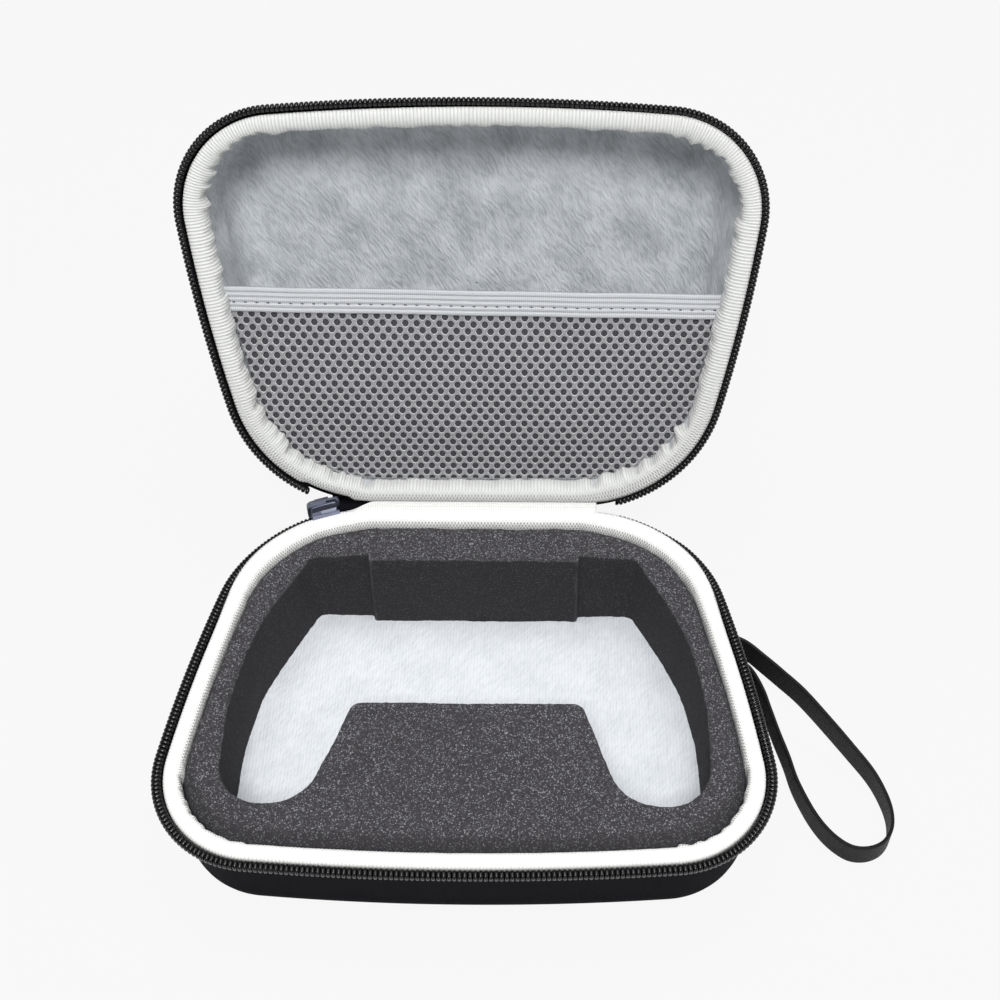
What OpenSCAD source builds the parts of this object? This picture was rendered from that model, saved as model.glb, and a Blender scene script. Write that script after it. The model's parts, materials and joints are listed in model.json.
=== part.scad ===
// Hard carrying case for a game controller: two moulded shells joined by a cloth hinge
// and a zip, a cut foam insert in the base, a mesh pocket in the lid and a wrist strap.
// The origin is the centre of the flat bottom. The front faces -Y and the hinge is at +Y.

/* [Case] */
// Width over the zip, side to side
case_w = 200; // [180:1:230]
// Depth over the zip, front to hinge
case_d = 150; // [140:1:170]
// Height of the closed case
case_h = 84; // [78:1:100]
// Plan radius of the two front corners
front_corner_r = 36; // [30:1:44]
// Plan radius of the two rear corners
rear_corner_r = 52; // [45:1:58]
// Plan radius of the shallow bow along the front
front_bow_r = 850; // [500:10:2000]
// Plan radius of the shallow bow along each side
side_bow_r = 560; // [350:10:1500]
// Length of the straight rear edge
rear_straight = 75; // [64:1:84]
// How far the lid stands open, measured from closed
open_angle = 112; // [100:1:140]

/* [Shells] */
// Thickness of the moulded shell wall
shell_t = 3; // [2:0.1:4]
// Thickness of the plush lining
lining_t = 1; // [0.6:0.1:1.6]
// Radius of the rounded edge round the bottom of each shell
bottom_r = 13; // [9:0.5:18]
// How much further in the wall is at the bottom than at the rim
wall_draft = 2.5; // [1:0.5:5]
// Distance from the outermost zip edge in to the shell wall at the rim
rim_inset = 4.6; // [4.2:0.1:6]

/* [Rim binding] */
// Thickness of the woven binding tape
binding_t = 0.7; // [0.5:0.1:1]
// Height of the binding tape down the outside and the inside of the wall
binding_leg = 8; // [7:0.5:10]
// How far the wall edge lies below the crest of the binding
binding_crown = 2; // [1.4:0.1:2.6]
// Gap between the two bindings in the closed case
closed_gap = 0.8; // [0.6:0.1:1.6]

/* [Zip] */
// Height of one half of the zip's coil
coil_h = 3; // [2.4:0.1:3.2]
// Depth of the coil, outside to tape
coil_t = 2; // [1.6:0.1:2.2]
// Gap between the two coils in the closed case
coil_gap = 0.3; // [0.3:0.1:0.8]
// Thickness of the zip tape
tape_t = 0.5; // [0.4:0.1:0.6]
// Height of the zip tape below the parting plane
tape_h = 8; // [7.5:0.5:10]
// Height over which the tape bends out from the rim to the coil
tape_bend = 1.3; // [1:0.1:1.8]
// Gap between the end of the hinge and the parked slider
slider_gap = 0.8; // [0.6:0.1:3]
// Length of the slider
slider_l = 12; // [10:0.5:14]
// Half of the slider's height at its mouth
slider_mouth = 4.6; // [4.2:0.1:4.8]
// Half of the slider's height at its tail
slider_tail = 3.4; // [3.2:0.1:3.6]
// Thickness of the slider's plates
slider_plate_t = 1.1; // [0.8:0.1:1.3]
// Radius of the bar that the puller hangs on
bail_bar_r = 0.7; // [0.5:0.1:0.9]
// Clearance between the bar and the puller's eye
bail_clearance = 0.25; // [0.15:0.05:0.4]
// Wall of the puller's eye
eye_wall = 0.7; // [0.5:0.1:1]
// Length of the puller from its bar to its tip
pull_l = 26; // [18:1:32]
// Width of the puller at its tip
pull_w = 7; // [6:0.5:9]
// Thickness of the puller
pull_t = 1.2; // [0.8:0.1:1.6]

/* [Foam insert] */
// How far the top of the foam lies below the parting plane
foam_drop = 3; // [2:0.5:6]
// Foam left beside the controller bay, out to the zip's edge
foam_side_wall = 20.5; // [18:0.5:26]
// Foam left behind the controller bay
foam_rear_wall = 25.5; // [18:0.5:28]
// Foam left in front of the grips
foam_front_wall = 27; // [22:0.5:32]
// Width of the island between the grips at its rear edge
island_rear_w = 76; // [60:1:84]
// Width of the island at the front wall, before its flanks sweep out into that wall
island_front_w = 102; // [90:1:110]
// Depth of the island, front wall to rear edge
island_d = 38; // [28:1:44]
// Radius of the sweep from each flank of the island into the front wall
island_sweep_r = 12; // [6:0.5:14]
// Radius of the island's two rear corners
island_corner_r = 4; // [2:0.5:8]
// Distance of each rear notch from the middle
notch_in = 38; // [30:1:42]
// Length of each rear notch along the rear wall
notch_l = 20; // [14:0.5:24]
// Depth of each rear notch into the rear wall
notch_d = 2.5; // [1:0.5:5]
// Radius of the cut-out's front outer corners
bay_corner_r = 10; // [6:0.5:12]
// How far each side of the cut-out narrows towards the rear
shoulder_in = 5; // [3:0.5:12]
// Distance of the narrowed shoulder from the rear wall
shoulder_d = 30; // [20:1:40]
// How far each grip's side turns back in towards the front
grip_in = 0.5; // [0:0.1:2]

/* [Mesh pocket] */
// Width of the elastic band along the pocket's mouth
band_w = 9; // [6:0.5:14]
// Distance of the band's upper edge in front of the case's middle
band_front = 7; // [0:1:20]
// Number of ribs woven into the band
band_ribs = 5; // [3:1:7]
// Thickness of the band without its ribs
band_t = 1; // [0.8:0.1:1.4]
// Thickness of the mesh
mesh_t = 0.8; // [0.6:0.1:1.2]
// Distance between neighbouring openings in the mesh
mesh_pitch = 10; // [9:0.5:16]
// Diameter of each opening in the mesh
mesh_hole_d = 6.4; // [3:0.1:7]

/* [Hinge] */
// Length of the pale inner hinge cloth along the rear edge
hinge_w = 86; // [70:1:90]
// How far the dark outer hinge cloth runs past the inner one at each end
hinge_hem = 5.5; // [2:0.5:5.5]
// Thickness of each of the hinge's two cloths
hinge_t = 0.7; // [0.5:0.1:0.8]
// Distance of the hinge axis in front of the zip's rearmost edge
hinge_offset = 1.8; // [1.4:0.1:2]

/* [Wrist strap] */
// Width of the strap's webbing
strap_w = 10; // [6:0.5:10]
// Thickness of the strap's webbing
strap_t = 1.2; // [0.8:0.1:1.6]

/* [Hidden] */

$fn = 48;
// Clearance between pieces that move past each other or are only laid together
fit_gap = 0.3;
half_h = case_h / 2;
hinge_y = case_d / 2 - hinge_offset;
wall_top = half_h - closed_gap / 2 - binding_crown;
draft_top = half_h - binding_leg;
inner_t = shell_t + lining_t;
foam_top = half_h - foam_drop;
foam_edge_r = 1;
floor_inset = rim_inset + wall_draft + bottom_r;
// Angle between neighbouring rings of the shells' rounded bottom edge
fillet_step = 22.5;
// Steps that the arcs of the outline are drawn in
bow_steps = 3;
front_steps = 9;
rear_steps = 8;

// Middle line of the strap, from the wall round the loop and back
strap_route = [
    [86, 24, 28.5], [91, 22.5, 28.5], [96, 20.5, 27.5], [102, 16.5, 25], [108, 12.5, 22],
    [115, 7.5, 18.5], [122, 1, 14.5], [131, -8.5, 9.5], [138, -17.5, 6.5], [141.5, -26, 5.3],
    [142.5, -33, 5.1], [141.5, -39, 5.1], [138.5, -43.5, 5.1], [134.5, -45.8, 5.1],
    [130, -46.3, 5.1], [126, -45, 5.1], [121.5, -41.5, 5.6],
    [117.5, -37, 7], [114, -31.5, 9], [110.5, -24.5, 12], [108, -17, 15], [105, -9, 18], [102.5, -2, 21],
    [100, 4.5, 24], [96.5, 10.5, 26], [91.5, 14.5, 27.5], [86.8, 16.5, 28.5]
];

// Centres of the arcs that make the right half of the outline
front_x = case_w / 2 - front_corner_r;
bow_c = [0, front_bow_r - case_d / 2];
front_c = [front_x, bow_c.y - sqrt(pow(front_bow_r - front_corner_r, 2) - pow(front_x, 2))];
rear_c = [rear_straight / 2, case_d / 2 - rear_corner_r];
centre_step = rear_c - front_c;
centre_gap = norm(centre_step);
front_reach = side_bow_r - front_corner_r;
rear_reach = side_bow_r - rear_corner_r;
side_along = (pow(front_reach, 2) - pow(rear_reach, 2) + pow(centre_gap, 2)) / (2 * centre_gap);
side_across = sqrt(pow(front_reach, 2) - pow(side_along, 2));
side_c = front_c + centre_step * side_along / centre_gap
    + [-centre_step.y, centre_step.x] * side_across / centre_gap;
bow_end = direction(front_c - bow_c);
front_end = direction(front_c - side_c);
side_end = direction(rear_c - side_c);

// The zip ends where its edge would reach behind the hinge axis
zip_end = rear_c.x + sqrt(pow(rear_corner_r, 2) - pow(rear_corner_r - hinge_offset, 2)) + fit_gap;

function direction(v) = atan2(v.y, v.x);
function mirrored(points) = [for (i = [len(points) - 1 : -1 : 0]) [-points[i].x, points[i].y, points[i].z]];
function arc(centre, r, from, to, steps) =
    [for (i = [0 : steps - 1]) let (a = from + (to - from) * i / steps) centre + r * [cos(a), sin(a)]];

// Right half of the case's outline, moved in by inset, from the front middle to the rear edge
function half_outline(inset) = concat(
    arc(bow_c, front_bow_r - inset, -90, bow_end, bow_steps),
    arc(front_c, front_corner_r - inset, bow_end, front_end, front_steps),
    arc(side_c, side_bow_r - inset, front_end, side_end, bow_steps),
    arc(rear_c, rear_corner_r - inset, side_end, 90, rear_steps),
    [[rear_c.x, case_d / 2 - inset]]);
function outline(inset) = let (half = half_outline(inset), other = mirrored(half))
    [for (p = concat(half, [for (i = [0 : len(other) - 2]) other[i]])) [p.x, p.y]];
function ring(inset, z) = [for (p = outline(inset)) [p.x, p.y, z]];

// Half of the outline's width at a place behind the front corners
function half_width(y, inset) = y > rear_c.y + (rear_corner_r - inset) * sin(side_end)
    ? rear_c.x + sqrt(max(0, pow(rear_corner_r - inset, 2) - pow(y - rear_c.y, 2)))
    : side_c.x + sqrt(pow(side_bow_r - inset, 2) - pow(y - side_c.y, 2));

// Section of the shell from its rim to its floor, moved in by depth, as [inset, z]
function shell_section(depth) = let (r = bottom_r - depth) concat(
    [[rim_inset + depth, wall_top], [rim_inset + depth, draft_top]],
    [for (a = [90 : -fillet_step : 0]) [floor_inset - r * sin(a), bottom_r - r * cos(a)]]);
function reversed(list) = [for (i = [len(list) - 1 : -1 : 0]) list[i]];

// Polygon whose corners [x, y, radius] are rounded
function rounded(corners, steps = 6) = let (n = len(corners)) [for (i = [0 : n - 1]) let (
        here = [corners[i].x, corners[i].y],
        back = [corners[(i + n - 1) % n].x, corners[(i + n - 1) % n].y] - here,
        ahead = [corners[(i + 1) % n].x, corners[(i + 1) % n].y] - here,
        u = back / norm(back),
        v = ahead / norm(ahead),
        half = acos(max(-1, min(1, u * v))) / 2,
        r = corners[i].z,
        centre = here + (u + v) / norm(u + v) * r / sin(half),
        from = direction(here + u * r / tan(half) - centre),
        turn = direction(here + v * r / tan(half) - centre) - from,
        sweep = turn > 180 ? turn - 360 : turn < -180 ? turn + 360 : turn)
    each (r == 0 ? [here] : arc(centre, r, from, from + sweep * (steps + 1) / steps, steps + 1))];

// Outline of a thin strip of thickness t along a path
function strip(path, t) = let (
        last = len(path) - 1,
        runs = [for (i = [0 : last]) path[min(i + 1, last)] - path[max(i - 1, 0)]],
        normals = [for (run = runs) [-run.y, run.x] / norm(run)])
    concat([for (i = [0 : last]) path[i] + normals[i] * t / 2],
        [for (i = [last : -1 : 0]) path[i] - normals[i] * t / 2]);

// Point between b and c on the smooth curve through a, b, c and d
function curve_point(a, b, c, d, s) = 0.5 * (2 * b + (c - a) * s
    + (2 * a - 5 * b + 4 * c - d) * s * s + (3 * b - a - 3 * c + d) * s * s * s);

// Where a point of the lid's rear wall, given by its inset and its height above the parting
// plane in the closed case, lies in the side view while the lid stands open
function opened(inset, h) = let (
        y = case_d / 2 - inset - hinge_y,
        c = cos(open_angle),
        s = sin(open_angle))
    [hinge_y + y * c + h * s, half_h + h * c - y * s];

// Skin over rings of equally many points, closed into a loop or capped at both ends
module skin(rings, loop = false) {
    n = len(rings[0]);
    m = len(rings);
    sides = [for (j = [0 : m - (loop ? 1 : 2)], i = [0 : n - 1]) let (k = (j + 1) % m, l = (i + 1) % n)
        each [[j * n + i, k * n + i, k * n + l], [j * n + i, k * n + l, j * n + l]]];
    caps = loop ? [] : [[for (i = [0 : n - 1]) i], [for (i = [n - 1 : -1 : 0]) (m - 1) * n + i]];
    polyhedron([for (r = rings) each r], concat(sides, caps));
}

// Solid of revolution's equal for the case's outline: a section of [inset, z] led round it
module swept(section, loop = false) {
    skin([for (p = section) ring(p[0], p[1])], loop);
}

// Moulded dish between two depths below the shell's outside
module dish(outer, inner) {
    swept(concat(reversed(shell_section(outer)), shell_section(inner)));
}

// Places a piece that is modelled like the base's as part of the open lid
module as_lid() {
    translate([0, hinge_y, half_h])
    rotate([-open_angle, 0, 0])
    translate([0, -hinge_y, half_h])
    mirror([0, 0, 1])
    children();
}

// Prism along X of a side view given as [y, z] points
module along_x(length, points) {
    rotate([90, 0, 90])
    linear_extrude(length, center = true)
    polygon(points);
}

// Woven binding folded over the edge of the wall
module binding() {
    crest = half_h - closed_gap / 2;
    outer = rim_inset - binding_t;
    inner = rim_inset + inner_t + binding_t;
    width = inner - outer;
    swept([
        [outer, draft_top],
        [outer, wall_top],
        [outer + width * 0.15, crest - binding_crown * 0.35],
        [outer + width * 0.33, crest],
        [inner - width * 0.33, crest],
        [inner - width * 0.11, crest - binding_crown * 0.5],
        [inner, wall_top - binding_crown * 0.3],
        [inner, draft_top],
        [rim_inset + inner_t, draft_top],
        [rim_inset + inner_t, wall_top],
        [rim_inset, wall_top],
        [rim_inset, draft_top]
    ], loop = true);
}

// Opening in the zip from x_left to x_right, at the cloth hinge
module zip_break(x_left, x_right) {
    difference() {
        children();
        translate([x_left, 0, 0])
        cube([x_right - x_left, case_d, case_h]);
    }
}

// Tape of one half of the zip, sewn low on the rim and standing off it behind the coil
module zip_tape() {
    sewn = rim_inset - binding_t;
    top = half_h - coil_gap / 2;
    bend_top = top - coil_h - fit_gap / 2;
    bend_low = bend_top - tape_bend;
    // The inner face bends lower than the outer one, so that the tape keeps its thickness
    drop = tape_t * 0.4;
    swept([
        [sewn - tape_t, half_h - tape_h],
        [sewn - tape_t, bend_low],
        [coil_t, bend_top],
        [coil_t, top],
        [coil_t + tape_t, top],
        [coil_t + tape_t, bend_top - drop],
        [sewn, bend_low - drop],
        [sewn, half_h - tape_h]
    ], loop = true);
}

// Coil of one half of the zip along the tape's upper edge
module zip_coil() {
    top = half_h - coil_gap / 2;
    chamfer = coil_t / 4;
    swept([
        [chamfer, top - coil_h],
        [0, top - coil_h * 0.75],
        [0, top - coil_h * 0.3],
        [chamfer, top],
        [coil_t, top],
        [coil_t, top - coil_h]
    ], loop = true);
}

// Base

module base_shell() {
    color("#232227") dish(0, shell_t);
}

module base_lining() {
    color("#dfe2e6") dish(shell_t, inner_t);
}

module base_binding() {
    color("#f2f2ee") binding();
}

module base_zip_tape() {
    color("#1b1b1e") zip_break(-zip_end, zip_end) zip_tape();
}

module base_zip_coil() {
    color("#121214") zip_break(-zip_end, zip_end) zip_coil();
}

// Right half of the controller bay, from its rear middle to the rear edge of the island,
// as [x, y, radius]
notch_edge_r = 1;
notch_end_r = 5;
shoulder_r = 100;
side_r = 80;
bay_x = case_w / 2 - foam_side_wall;
bay_rear = case_d / 2 - foam_rear_wall;
bay_front = foam_front_wall - case_d / 2;
notch_out = notch_in + notch_l;
bay_half = [
    [notch_in, bay_rear, notch_edge_r],
    [notch_in, bay_rear + notch_d, notch_edge_r],
    [notch_out, bay_rear + notch_d, notch_end_r],
    [bay_x - shoulder_in, bay_rear - shoulder_d, shoulder_r],
    [bay_x, bay_front + island_d, side_r],
    [bay_x - grip_in, bay_front, bay_corner_r],
    [island_front_w / 2, bay_front, island_sweep_r],
    [island_rear_w / 2, bay_front + island_d, island_corner_r]
];

module foam_insert() {
    depth = inner_t + binding_t + fit_gap;
    side = [for (p = reversed(shell_section(depth))) if (p[1] < foam_top - foam_edge_r) p];
    rim = rim_inset + depth;
    color("#3c3b3e")
    difference() {
        swept(concat([[floor_inset, inner_t]], side,
            [[rim, foam_top - foam_edge_r], [rim + foam_edge_r, foam_top]]));
        translate([0, 0, inner_t - 1])
        linear_extrude(case_h)
        polygon(rounded(concat(bay_half, mirrored(bay_half))));
    }
}

// Hinge cloths, shown as they lie while the lid stands open

hinge_inset = rim_inset - binding_t - fit_gap - hinge_t / 2;
// How far each cloth reaches down the wall, and how far from the parting plane it bends
hinge_leg = binding_leg + 1;
hinge_bend = 1.2;
cloth_gap = 0.05;
bend_base = [case_d / 2 - hinge_inset, half_h - hinge_bend];
bend_lid = opened(hinge_inset, hinge_bend);

module hinge_cover() {
    color("#1d1d20")
    along_x(hinge_w + 2 * hinge_hem, strip([
        [case_d / 2 - hinge_inset, half_h - hinge_leg],
        bend_base,
        bend_lid,
        opened(hinge_inset, hinge_leg)
    ], hinge_t));
}

module hinge_lining() {
    along = (bend_lid - bend_base) / norm(bend_lid - bend_base);
    lift = [-along.y, along.x] * (hinge_t + cloth_gap);
    overlap = hinge_t * 0.85;
    color("#e4e5e6")
    along_x(hinge_w,
        strip([bend_base + lift - along * overlap, bend_lid + lift + along * overlap], hinge_t));
}

// Wrist strap: webbing that stands on edge, both ends sewn under the zip tape

module wrist_strap() {
    last = len(strap_route) - 1;
    halves = [for (i = [0 : last - 1], s = [0, 0.5]) curve_point(strap_route[max(i - 1, 0)],
        strap_route[i], strap_route[i + 1], strap_route[min(i + 2, last)], s)];
    path = concat(halves, [strap_route[last]]);
    end = len(path) - 1;
    // Chamfer along the webbing's edges
    edge = strap_t * 0.3;
    thick = strap_t / 2;
    wide = strap_w / 2;
    section = [
        [thick - edge, -wide], [thick, edge - wide], [thick, wide - edge], [thick - edge, wide],
        [edge - thick, wide], [-thick, wide - edge], [-thick, edge - wide], [edge - thick, -wide]
    ];
    color("#1a1a1d")
    skin([for (i = [0 : end]) let (
            run = path[min(i + 1, end)] - path[max(i - 1, 0)],
            along = run / norm(run),
            across = cross([0, 0, 1], along) / norm(cross([0, 0, 1], along)),
            up = cross(along, across))
        [for (p = section) path[i] + p.x * across + p.y * up]]);
}

// Zip slider, parked at the left end of the hinge. In its own frame +X points out of the
// case and +Y along the zip, towards the slider's mouth

slider_x = -(hinge_w / 2 + hinge_hem + slider_gap + slider_l / 2);
slider_angle = 90 + asin((-slider_x - rear_c.x) / rear_corner_r);
plate_out = fit_gap + slider_plate_t;
eye_bore_r = bail_bar_r + bail_clearance;
eye_r = eye_bore_r + eye_wall;
bar_out = plate_out + fit_gap + eye_r;
bail_half = 2.9;
bail_leg_t = 1;
// Overlap that makes touching parts of the slider one solid
weld = 0.1;

module at_slider() {
    translate([-rear_c.x, rear_c.y, half_h])
    rotate([0, 0, slider_angle])
    translate([rear_corner_r, 0, 0])
    children();
}

// Layer of the slider between two distances out of the zip's edge
module slider_layer(from, to) {
    tail_r = 1.2;
    mouth_r = 2;
    translate([from, 0, 0])
    rotate([90, 0, 90])
    linear_extrude(to - from)
    polygon(rounded([
        [-slider_l / 2, -slider_tail, tail_r],
        [slider_l / 2, -slider_mouth, mouth_r],
        [slider_l / 2, slider_mouth, mouth_r],
        [-slider_l / 2, slider_tail, tail_r]
    ]));
}

module zip_slider() {
    inner_plate_t = 0.6;
    inner_plate_x = -coil_t - tape_t - 0.5 - inner_plate_t;
    inner_plate_h = coil_h + 0.9;
    coil_room = coil_h + coil_gap / 2 + fit_gap;
    flange_start = -1;
    upper_flange_d = 0.8;
    wedge_start = 1.5;
    wedge_l = slider_l / 2 - wedge_start - 1;
    wedge_h = 1.2;
    color("#4b4e58")
    at_slider() {
        slider_layer(fit_gap, plate_out);
        // Lower flange, which holds the base's coil against the outer plate
        intersection() {
            slider_layer(fit_gap - coil_t, fit_gap);
            translate([-case_w / 2, flange_start, -coil_room - slider_mouth])
            cube([case_w, slider_l, slider_mouth]);
        }
        // Upper flange, shorter so that the lid swings past it
        intersection() {
            slider_layer(-upper_flange_d, fit_gap);
            translate([-case_w / 2, flange_start, coil_room])
            cube([case_w, slider_l, slider_mouth]);
        }
        // Inner plate between the tape and the binding
        translate([inner_plate_x, 1 - slider_l / 2, weld - coil_h])
        cube([inner_plate_t, slider_l - 2, inner_plate_h]);
        // Wedge between the two coils, which joins the plates
        translate([inner_plate_x, wedge_start, coil_gap / 2])
        cube([fit_gap - inner_plate_x + weld, wedge_l, wedge_h]);
        // Bail for the puller
        translate([bar_out, 0, 0])
        rotate([90, 0, 0])
        cylinder(r = bail_bar_r, h = 2 * (bail_half + weld), center = true);
        for (side = [-1, 1])
            translate([0, side * (bail_half + bail_leg_t / 2), 0]) {
                translate([plate_out - weld, -bail_leg_t / 2, -eye_bore_r])
                cube([bar_out - plate_out + weld, bail_leg_t, 2 * eye_bore_r]);
                translate([bar_out, 0, 0])
                rotate([90, 0, 0])
                cylinder(r = eye_bore_r, h = bail_leg_t, center = true);
            }
    }
}

module zip_puller() {
    eye_half = bail_half - fit_gap;
    neck_z = -pull_l * 0.35;
    blade_z = -pull_l * 0.6;
    waist_r = 3;
    tip_r = 2.2;
    cord_hole_d = pull_w * 0.45;
    cord_hole_z = cord_hole_d * 1.2 - pull_l;
    color("#3f424b")
    at_slider()
    translate([bar_out, 0, 0])
    difference() {
        union() {
            rotate([90, 0, 0])
            cylinder(r = eye_r, h = 2 * eye_half, center = true);
            translate([-pull_t / 2, 0, 0])
            rotate([90, 0, 90])
            linear_extrude(pull_t)
            polygon(rounded([
                [-eye_half, -eye_bore_r, 0],
                [-eye_half, neck_z, waist_r],
                [-pull_w / 2, blade_z, waist_r],
                [-pull_w / 2, -pull_l, tip_r],
                [pull_w / 2, -pull_l, tip_r],
                [pull_w / 2, blade_z, waist_r],
                [eye_half, neck_z, waist_r],
                [eye_half, -eye_bore_r, 0]
            ]));
        }
        rotate([90, 0, 0])
        cylinder(r = eye_bore_r, h = 4 * eye_half, center = true);
        // Hole for a cord near the tip
        translate([0, 0, cord_hole_z])
        rotate([0, 90, 0])
        cylinder(d = cord_hole_d, h = 4 * pull_t, center = true);
    }
}

// Lid

module lid_shell() {
    color("#232227") as_lid() dish(0, shell_t);
}

module lid_lining() {
    color("#b4b8bb") as_lid() dish(shell_t, inner_t);
}

module lid_binding() {
    color("#f2f2ee") as_lid() binding();
}

module lid_zip_tape() {
    color("#1b1b1e") as_lid() zip_break(slider_x - slider_l / 2 - fit_gap, zip_end) zip_tape();
}

module lid_zip_coil() {
    color("#121214") as_lid() zip_break(slider_x - slider_l / 2 - fit_gap, zip_end) zip_coil();
}

// Mesh pocket over the hinge side of the lid, held at its edges under the binding

pocket_z = draft_top - fit_gap;
rib_h = 0.5;
pocket_back = pocket_z - rib_h - max(band_t, mesh_t);
pocket_inset = rim_inset + inner_t + fit_gap
    + wall_draft * (draft_top - pocket_back) / (draft_top - bottom_r);
mesh_start = band_w - band_front;

module pocket_band() {
    steps = 6;
    ribs = [for (i = [0 : band_ribs * steps])
        [mesh_start - band_w * i / (band_ribs * steps), pocket_z - rib_h * (1 - abs(sin(180 * i / steps)))]];
    color("#c8cace")
    as_lid()
    intersection() {
        along_x(case_w, concat([[mesh_start, pocket_z - rib_h - band_t]], ribs,
            [[-band_front, pocket_z - rib_h - band_t]]));
        linear_extrude(case_h) polygon(outline(pocket_inset));
    }
}

module pocket_mesh() {
    hem = 1.5;
    margin = mesh_hole_d / 2 + hem;
    row_step = mesh_pitch * sin(60);
    first = mesh_start + margin;
    rows = floor((case_d / 2 - pocket_inset - margin - first) / row_step);
    color("#b9b9ba")
    as_lid()
    translate([0, 0, pocket_z - rib_h - mesh_t])
    linear_extrude(mesh_t)
    difference() {
        intersection() {
            polygon(outline(pocket_inset));
            translate([-case_w / 2, mesh_start]) square(case_w);
        }
        for (row = [0 : rows]) {
            y = first + row * row_step;
            shift = row % 2 == 0 ? 0 : 0.5;
            count = floor((half_width(y, pocket_inset) - margin) / mesh_pitch - shift);
            for (i = [-count - 2 * shift : count])
                translate([(i + shift) * mesh_pitch, y])
                circle(d = mesh_hole_d);
        }
    }
}

base_shell();
base_lining();
foam_insert();
base_binding();
base_zip_tape();
base_zip_coil();
hinge_cover();
hinge_lining();
wrist_strap();
zip_slider();
zip_puller();
lid_shell();
lid_lining();
lid_binding();
lid_zip_tape();
lid_zip_coil();
pocket_mesh();
pocket_band();
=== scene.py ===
"""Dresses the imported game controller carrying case: cloth, plush, foam, binding, zip, mesh and metal.

Every size is in metres, in the frame's own axes: the case stands on z = 0, its front faces -Y and its
hinge lies at +Y. Pieces of the lid are made as the base's are, mirrored, and turned open about the hinge.
"""

import json
import math

import bmesh
import bpy
import numpy as np
from bpy.props import FloatProperty, FloatVectorProperty, IntProperty, PointerProperty
from mathutils import Matrix, Vector, noise
from mathutils.geometry import delaunay_2d_cdt


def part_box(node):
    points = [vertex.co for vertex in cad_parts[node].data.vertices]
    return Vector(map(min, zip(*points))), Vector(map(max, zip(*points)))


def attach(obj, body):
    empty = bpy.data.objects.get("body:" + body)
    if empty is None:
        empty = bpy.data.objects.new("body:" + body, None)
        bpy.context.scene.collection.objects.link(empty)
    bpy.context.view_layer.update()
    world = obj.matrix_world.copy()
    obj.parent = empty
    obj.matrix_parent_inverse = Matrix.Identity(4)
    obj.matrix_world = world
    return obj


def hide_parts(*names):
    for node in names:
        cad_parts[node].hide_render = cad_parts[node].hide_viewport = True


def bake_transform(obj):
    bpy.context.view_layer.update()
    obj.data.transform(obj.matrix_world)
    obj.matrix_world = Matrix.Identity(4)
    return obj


bl_info = {
    "name": "Controller Carrying Case",
    "version": (1, 0, 0),
    "blender": (4, 5, 0),
    "location": "View3D > Sidebar > Case",
    "description": "Cloth, plush, foam, zip and mesh for a hard carrying case",
    "category": "Object",
}

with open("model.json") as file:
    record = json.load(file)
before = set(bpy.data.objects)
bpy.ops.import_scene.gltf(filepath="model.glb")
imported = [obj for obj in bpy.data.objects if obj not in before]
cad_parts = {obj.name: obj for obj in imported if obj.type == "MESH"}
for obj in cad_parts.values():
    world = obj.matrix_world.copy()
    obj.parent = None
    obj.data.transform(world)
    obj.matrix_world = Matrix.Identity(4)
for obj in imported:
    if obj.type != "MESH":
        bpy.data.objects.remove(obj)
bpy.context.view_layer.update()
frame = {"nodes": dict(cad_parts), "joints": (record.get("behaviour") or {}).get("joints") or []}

MM = 0.001
BODIES = ("base", "lid")
LID_JOINT = next(j for j in frame["joints"] if j["name"] == "lid_hinge")
HINGE_Y, HINGE_Z = LID_JOINT["pos_m"][1:]
OPEN_ANGLE = LID_JOINT["range_deg"][1]
COIL_LOW, COIL_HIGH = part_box("base_zip_coil")
SHELL_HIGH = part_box("base_shell")[1]
FOAM_LOW, FOAM_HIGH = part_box("foam_insert")
SLIDER_X = 0.5 * sum(corner.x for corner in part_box("zip_slider"))

# Left and right ends of the hinge's cloths, and how far the zip's tapes run on to them
COVER_SPAN = (-53 * MM, 44 * MM)
CLOTH_SPAN = (-47 * MM, 44.5 * MM)
TAPE_SPAN = (-45.5 * MM, 43 * MM)
CLOTH_THICKNESS = 0.7 * MM
# Height of the coil's middle, and half the height of its turns
COIL_Z = 40.35 * MM
COIL_HALF = 1.5 * MM
# The pocket's plane in the base's place, its inset, its elastic's front edge, lean and lift off the mesh
POCKET_Z = 33.3 * MM
POCKET_INSET = 9.2 * MM
BAND_FRONT = -7 * MM
BAND_TILT = 0.012
BAND_LIFT = 0.4 * MM

# Photographed view, found from the outlines of the two rims
VIEW_TARGET = (0.01758, 0.04535, 0.07965)
VIEW_DISTANCE = 0.50556
VIEW_AZIMUTH = 0.791
VIEW_ELEVATION = 48.695
VIEW_ROLL = -0.228
VIEW_LENS = 54.225
VIEW_SHIFT = (-0.0218, -0.0033)

# Middle line of the wrist strap, the same route as in the part's source
STRAP_ROUTE = [
    (86, 24, 28.5), (91, 22.5, 28.5), (96, 20.5, 27.5), (102, 16.5, 25), (108, 12.5, 22), (115, 7.5, 18.5),
    (122, 1, 14.5), (131, -8.5, 9.5), (138, -17.5, 6.5), (141.5, -26, 5.3), (142.5, -33, 5.1), (141.5, -39, 5.1),
    (138.5, -43.5, 5.1), (134.5, -45.8, 5.1), (130, -46.3, 5.1), (126, -45, 5.1), (121.5, -41.5, 5.6),
    (117.5, -37, 7), (114, -31.5, 9), (110.5, -24.5, 12), (108, -17, 15), (105, -9, 18), (102.5, -2, 21),
    (100, 4.5, 24), (96.5, 10.5, 26), (91.5, 14.5, 27.5), (86.8, 16.5, 28.5),
]


def linear(code):
    """Linear RGBA of an sRGB hex value."""
    channels = [int(code[i : i + 2], 16) / 255 for i in (1, 3, 5)]
    return (*[c / 12.92 if c <= 0.04045 else ((c + 0.055) / 1.055) ** 2.4 for c in channels], 1.0)


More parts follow.
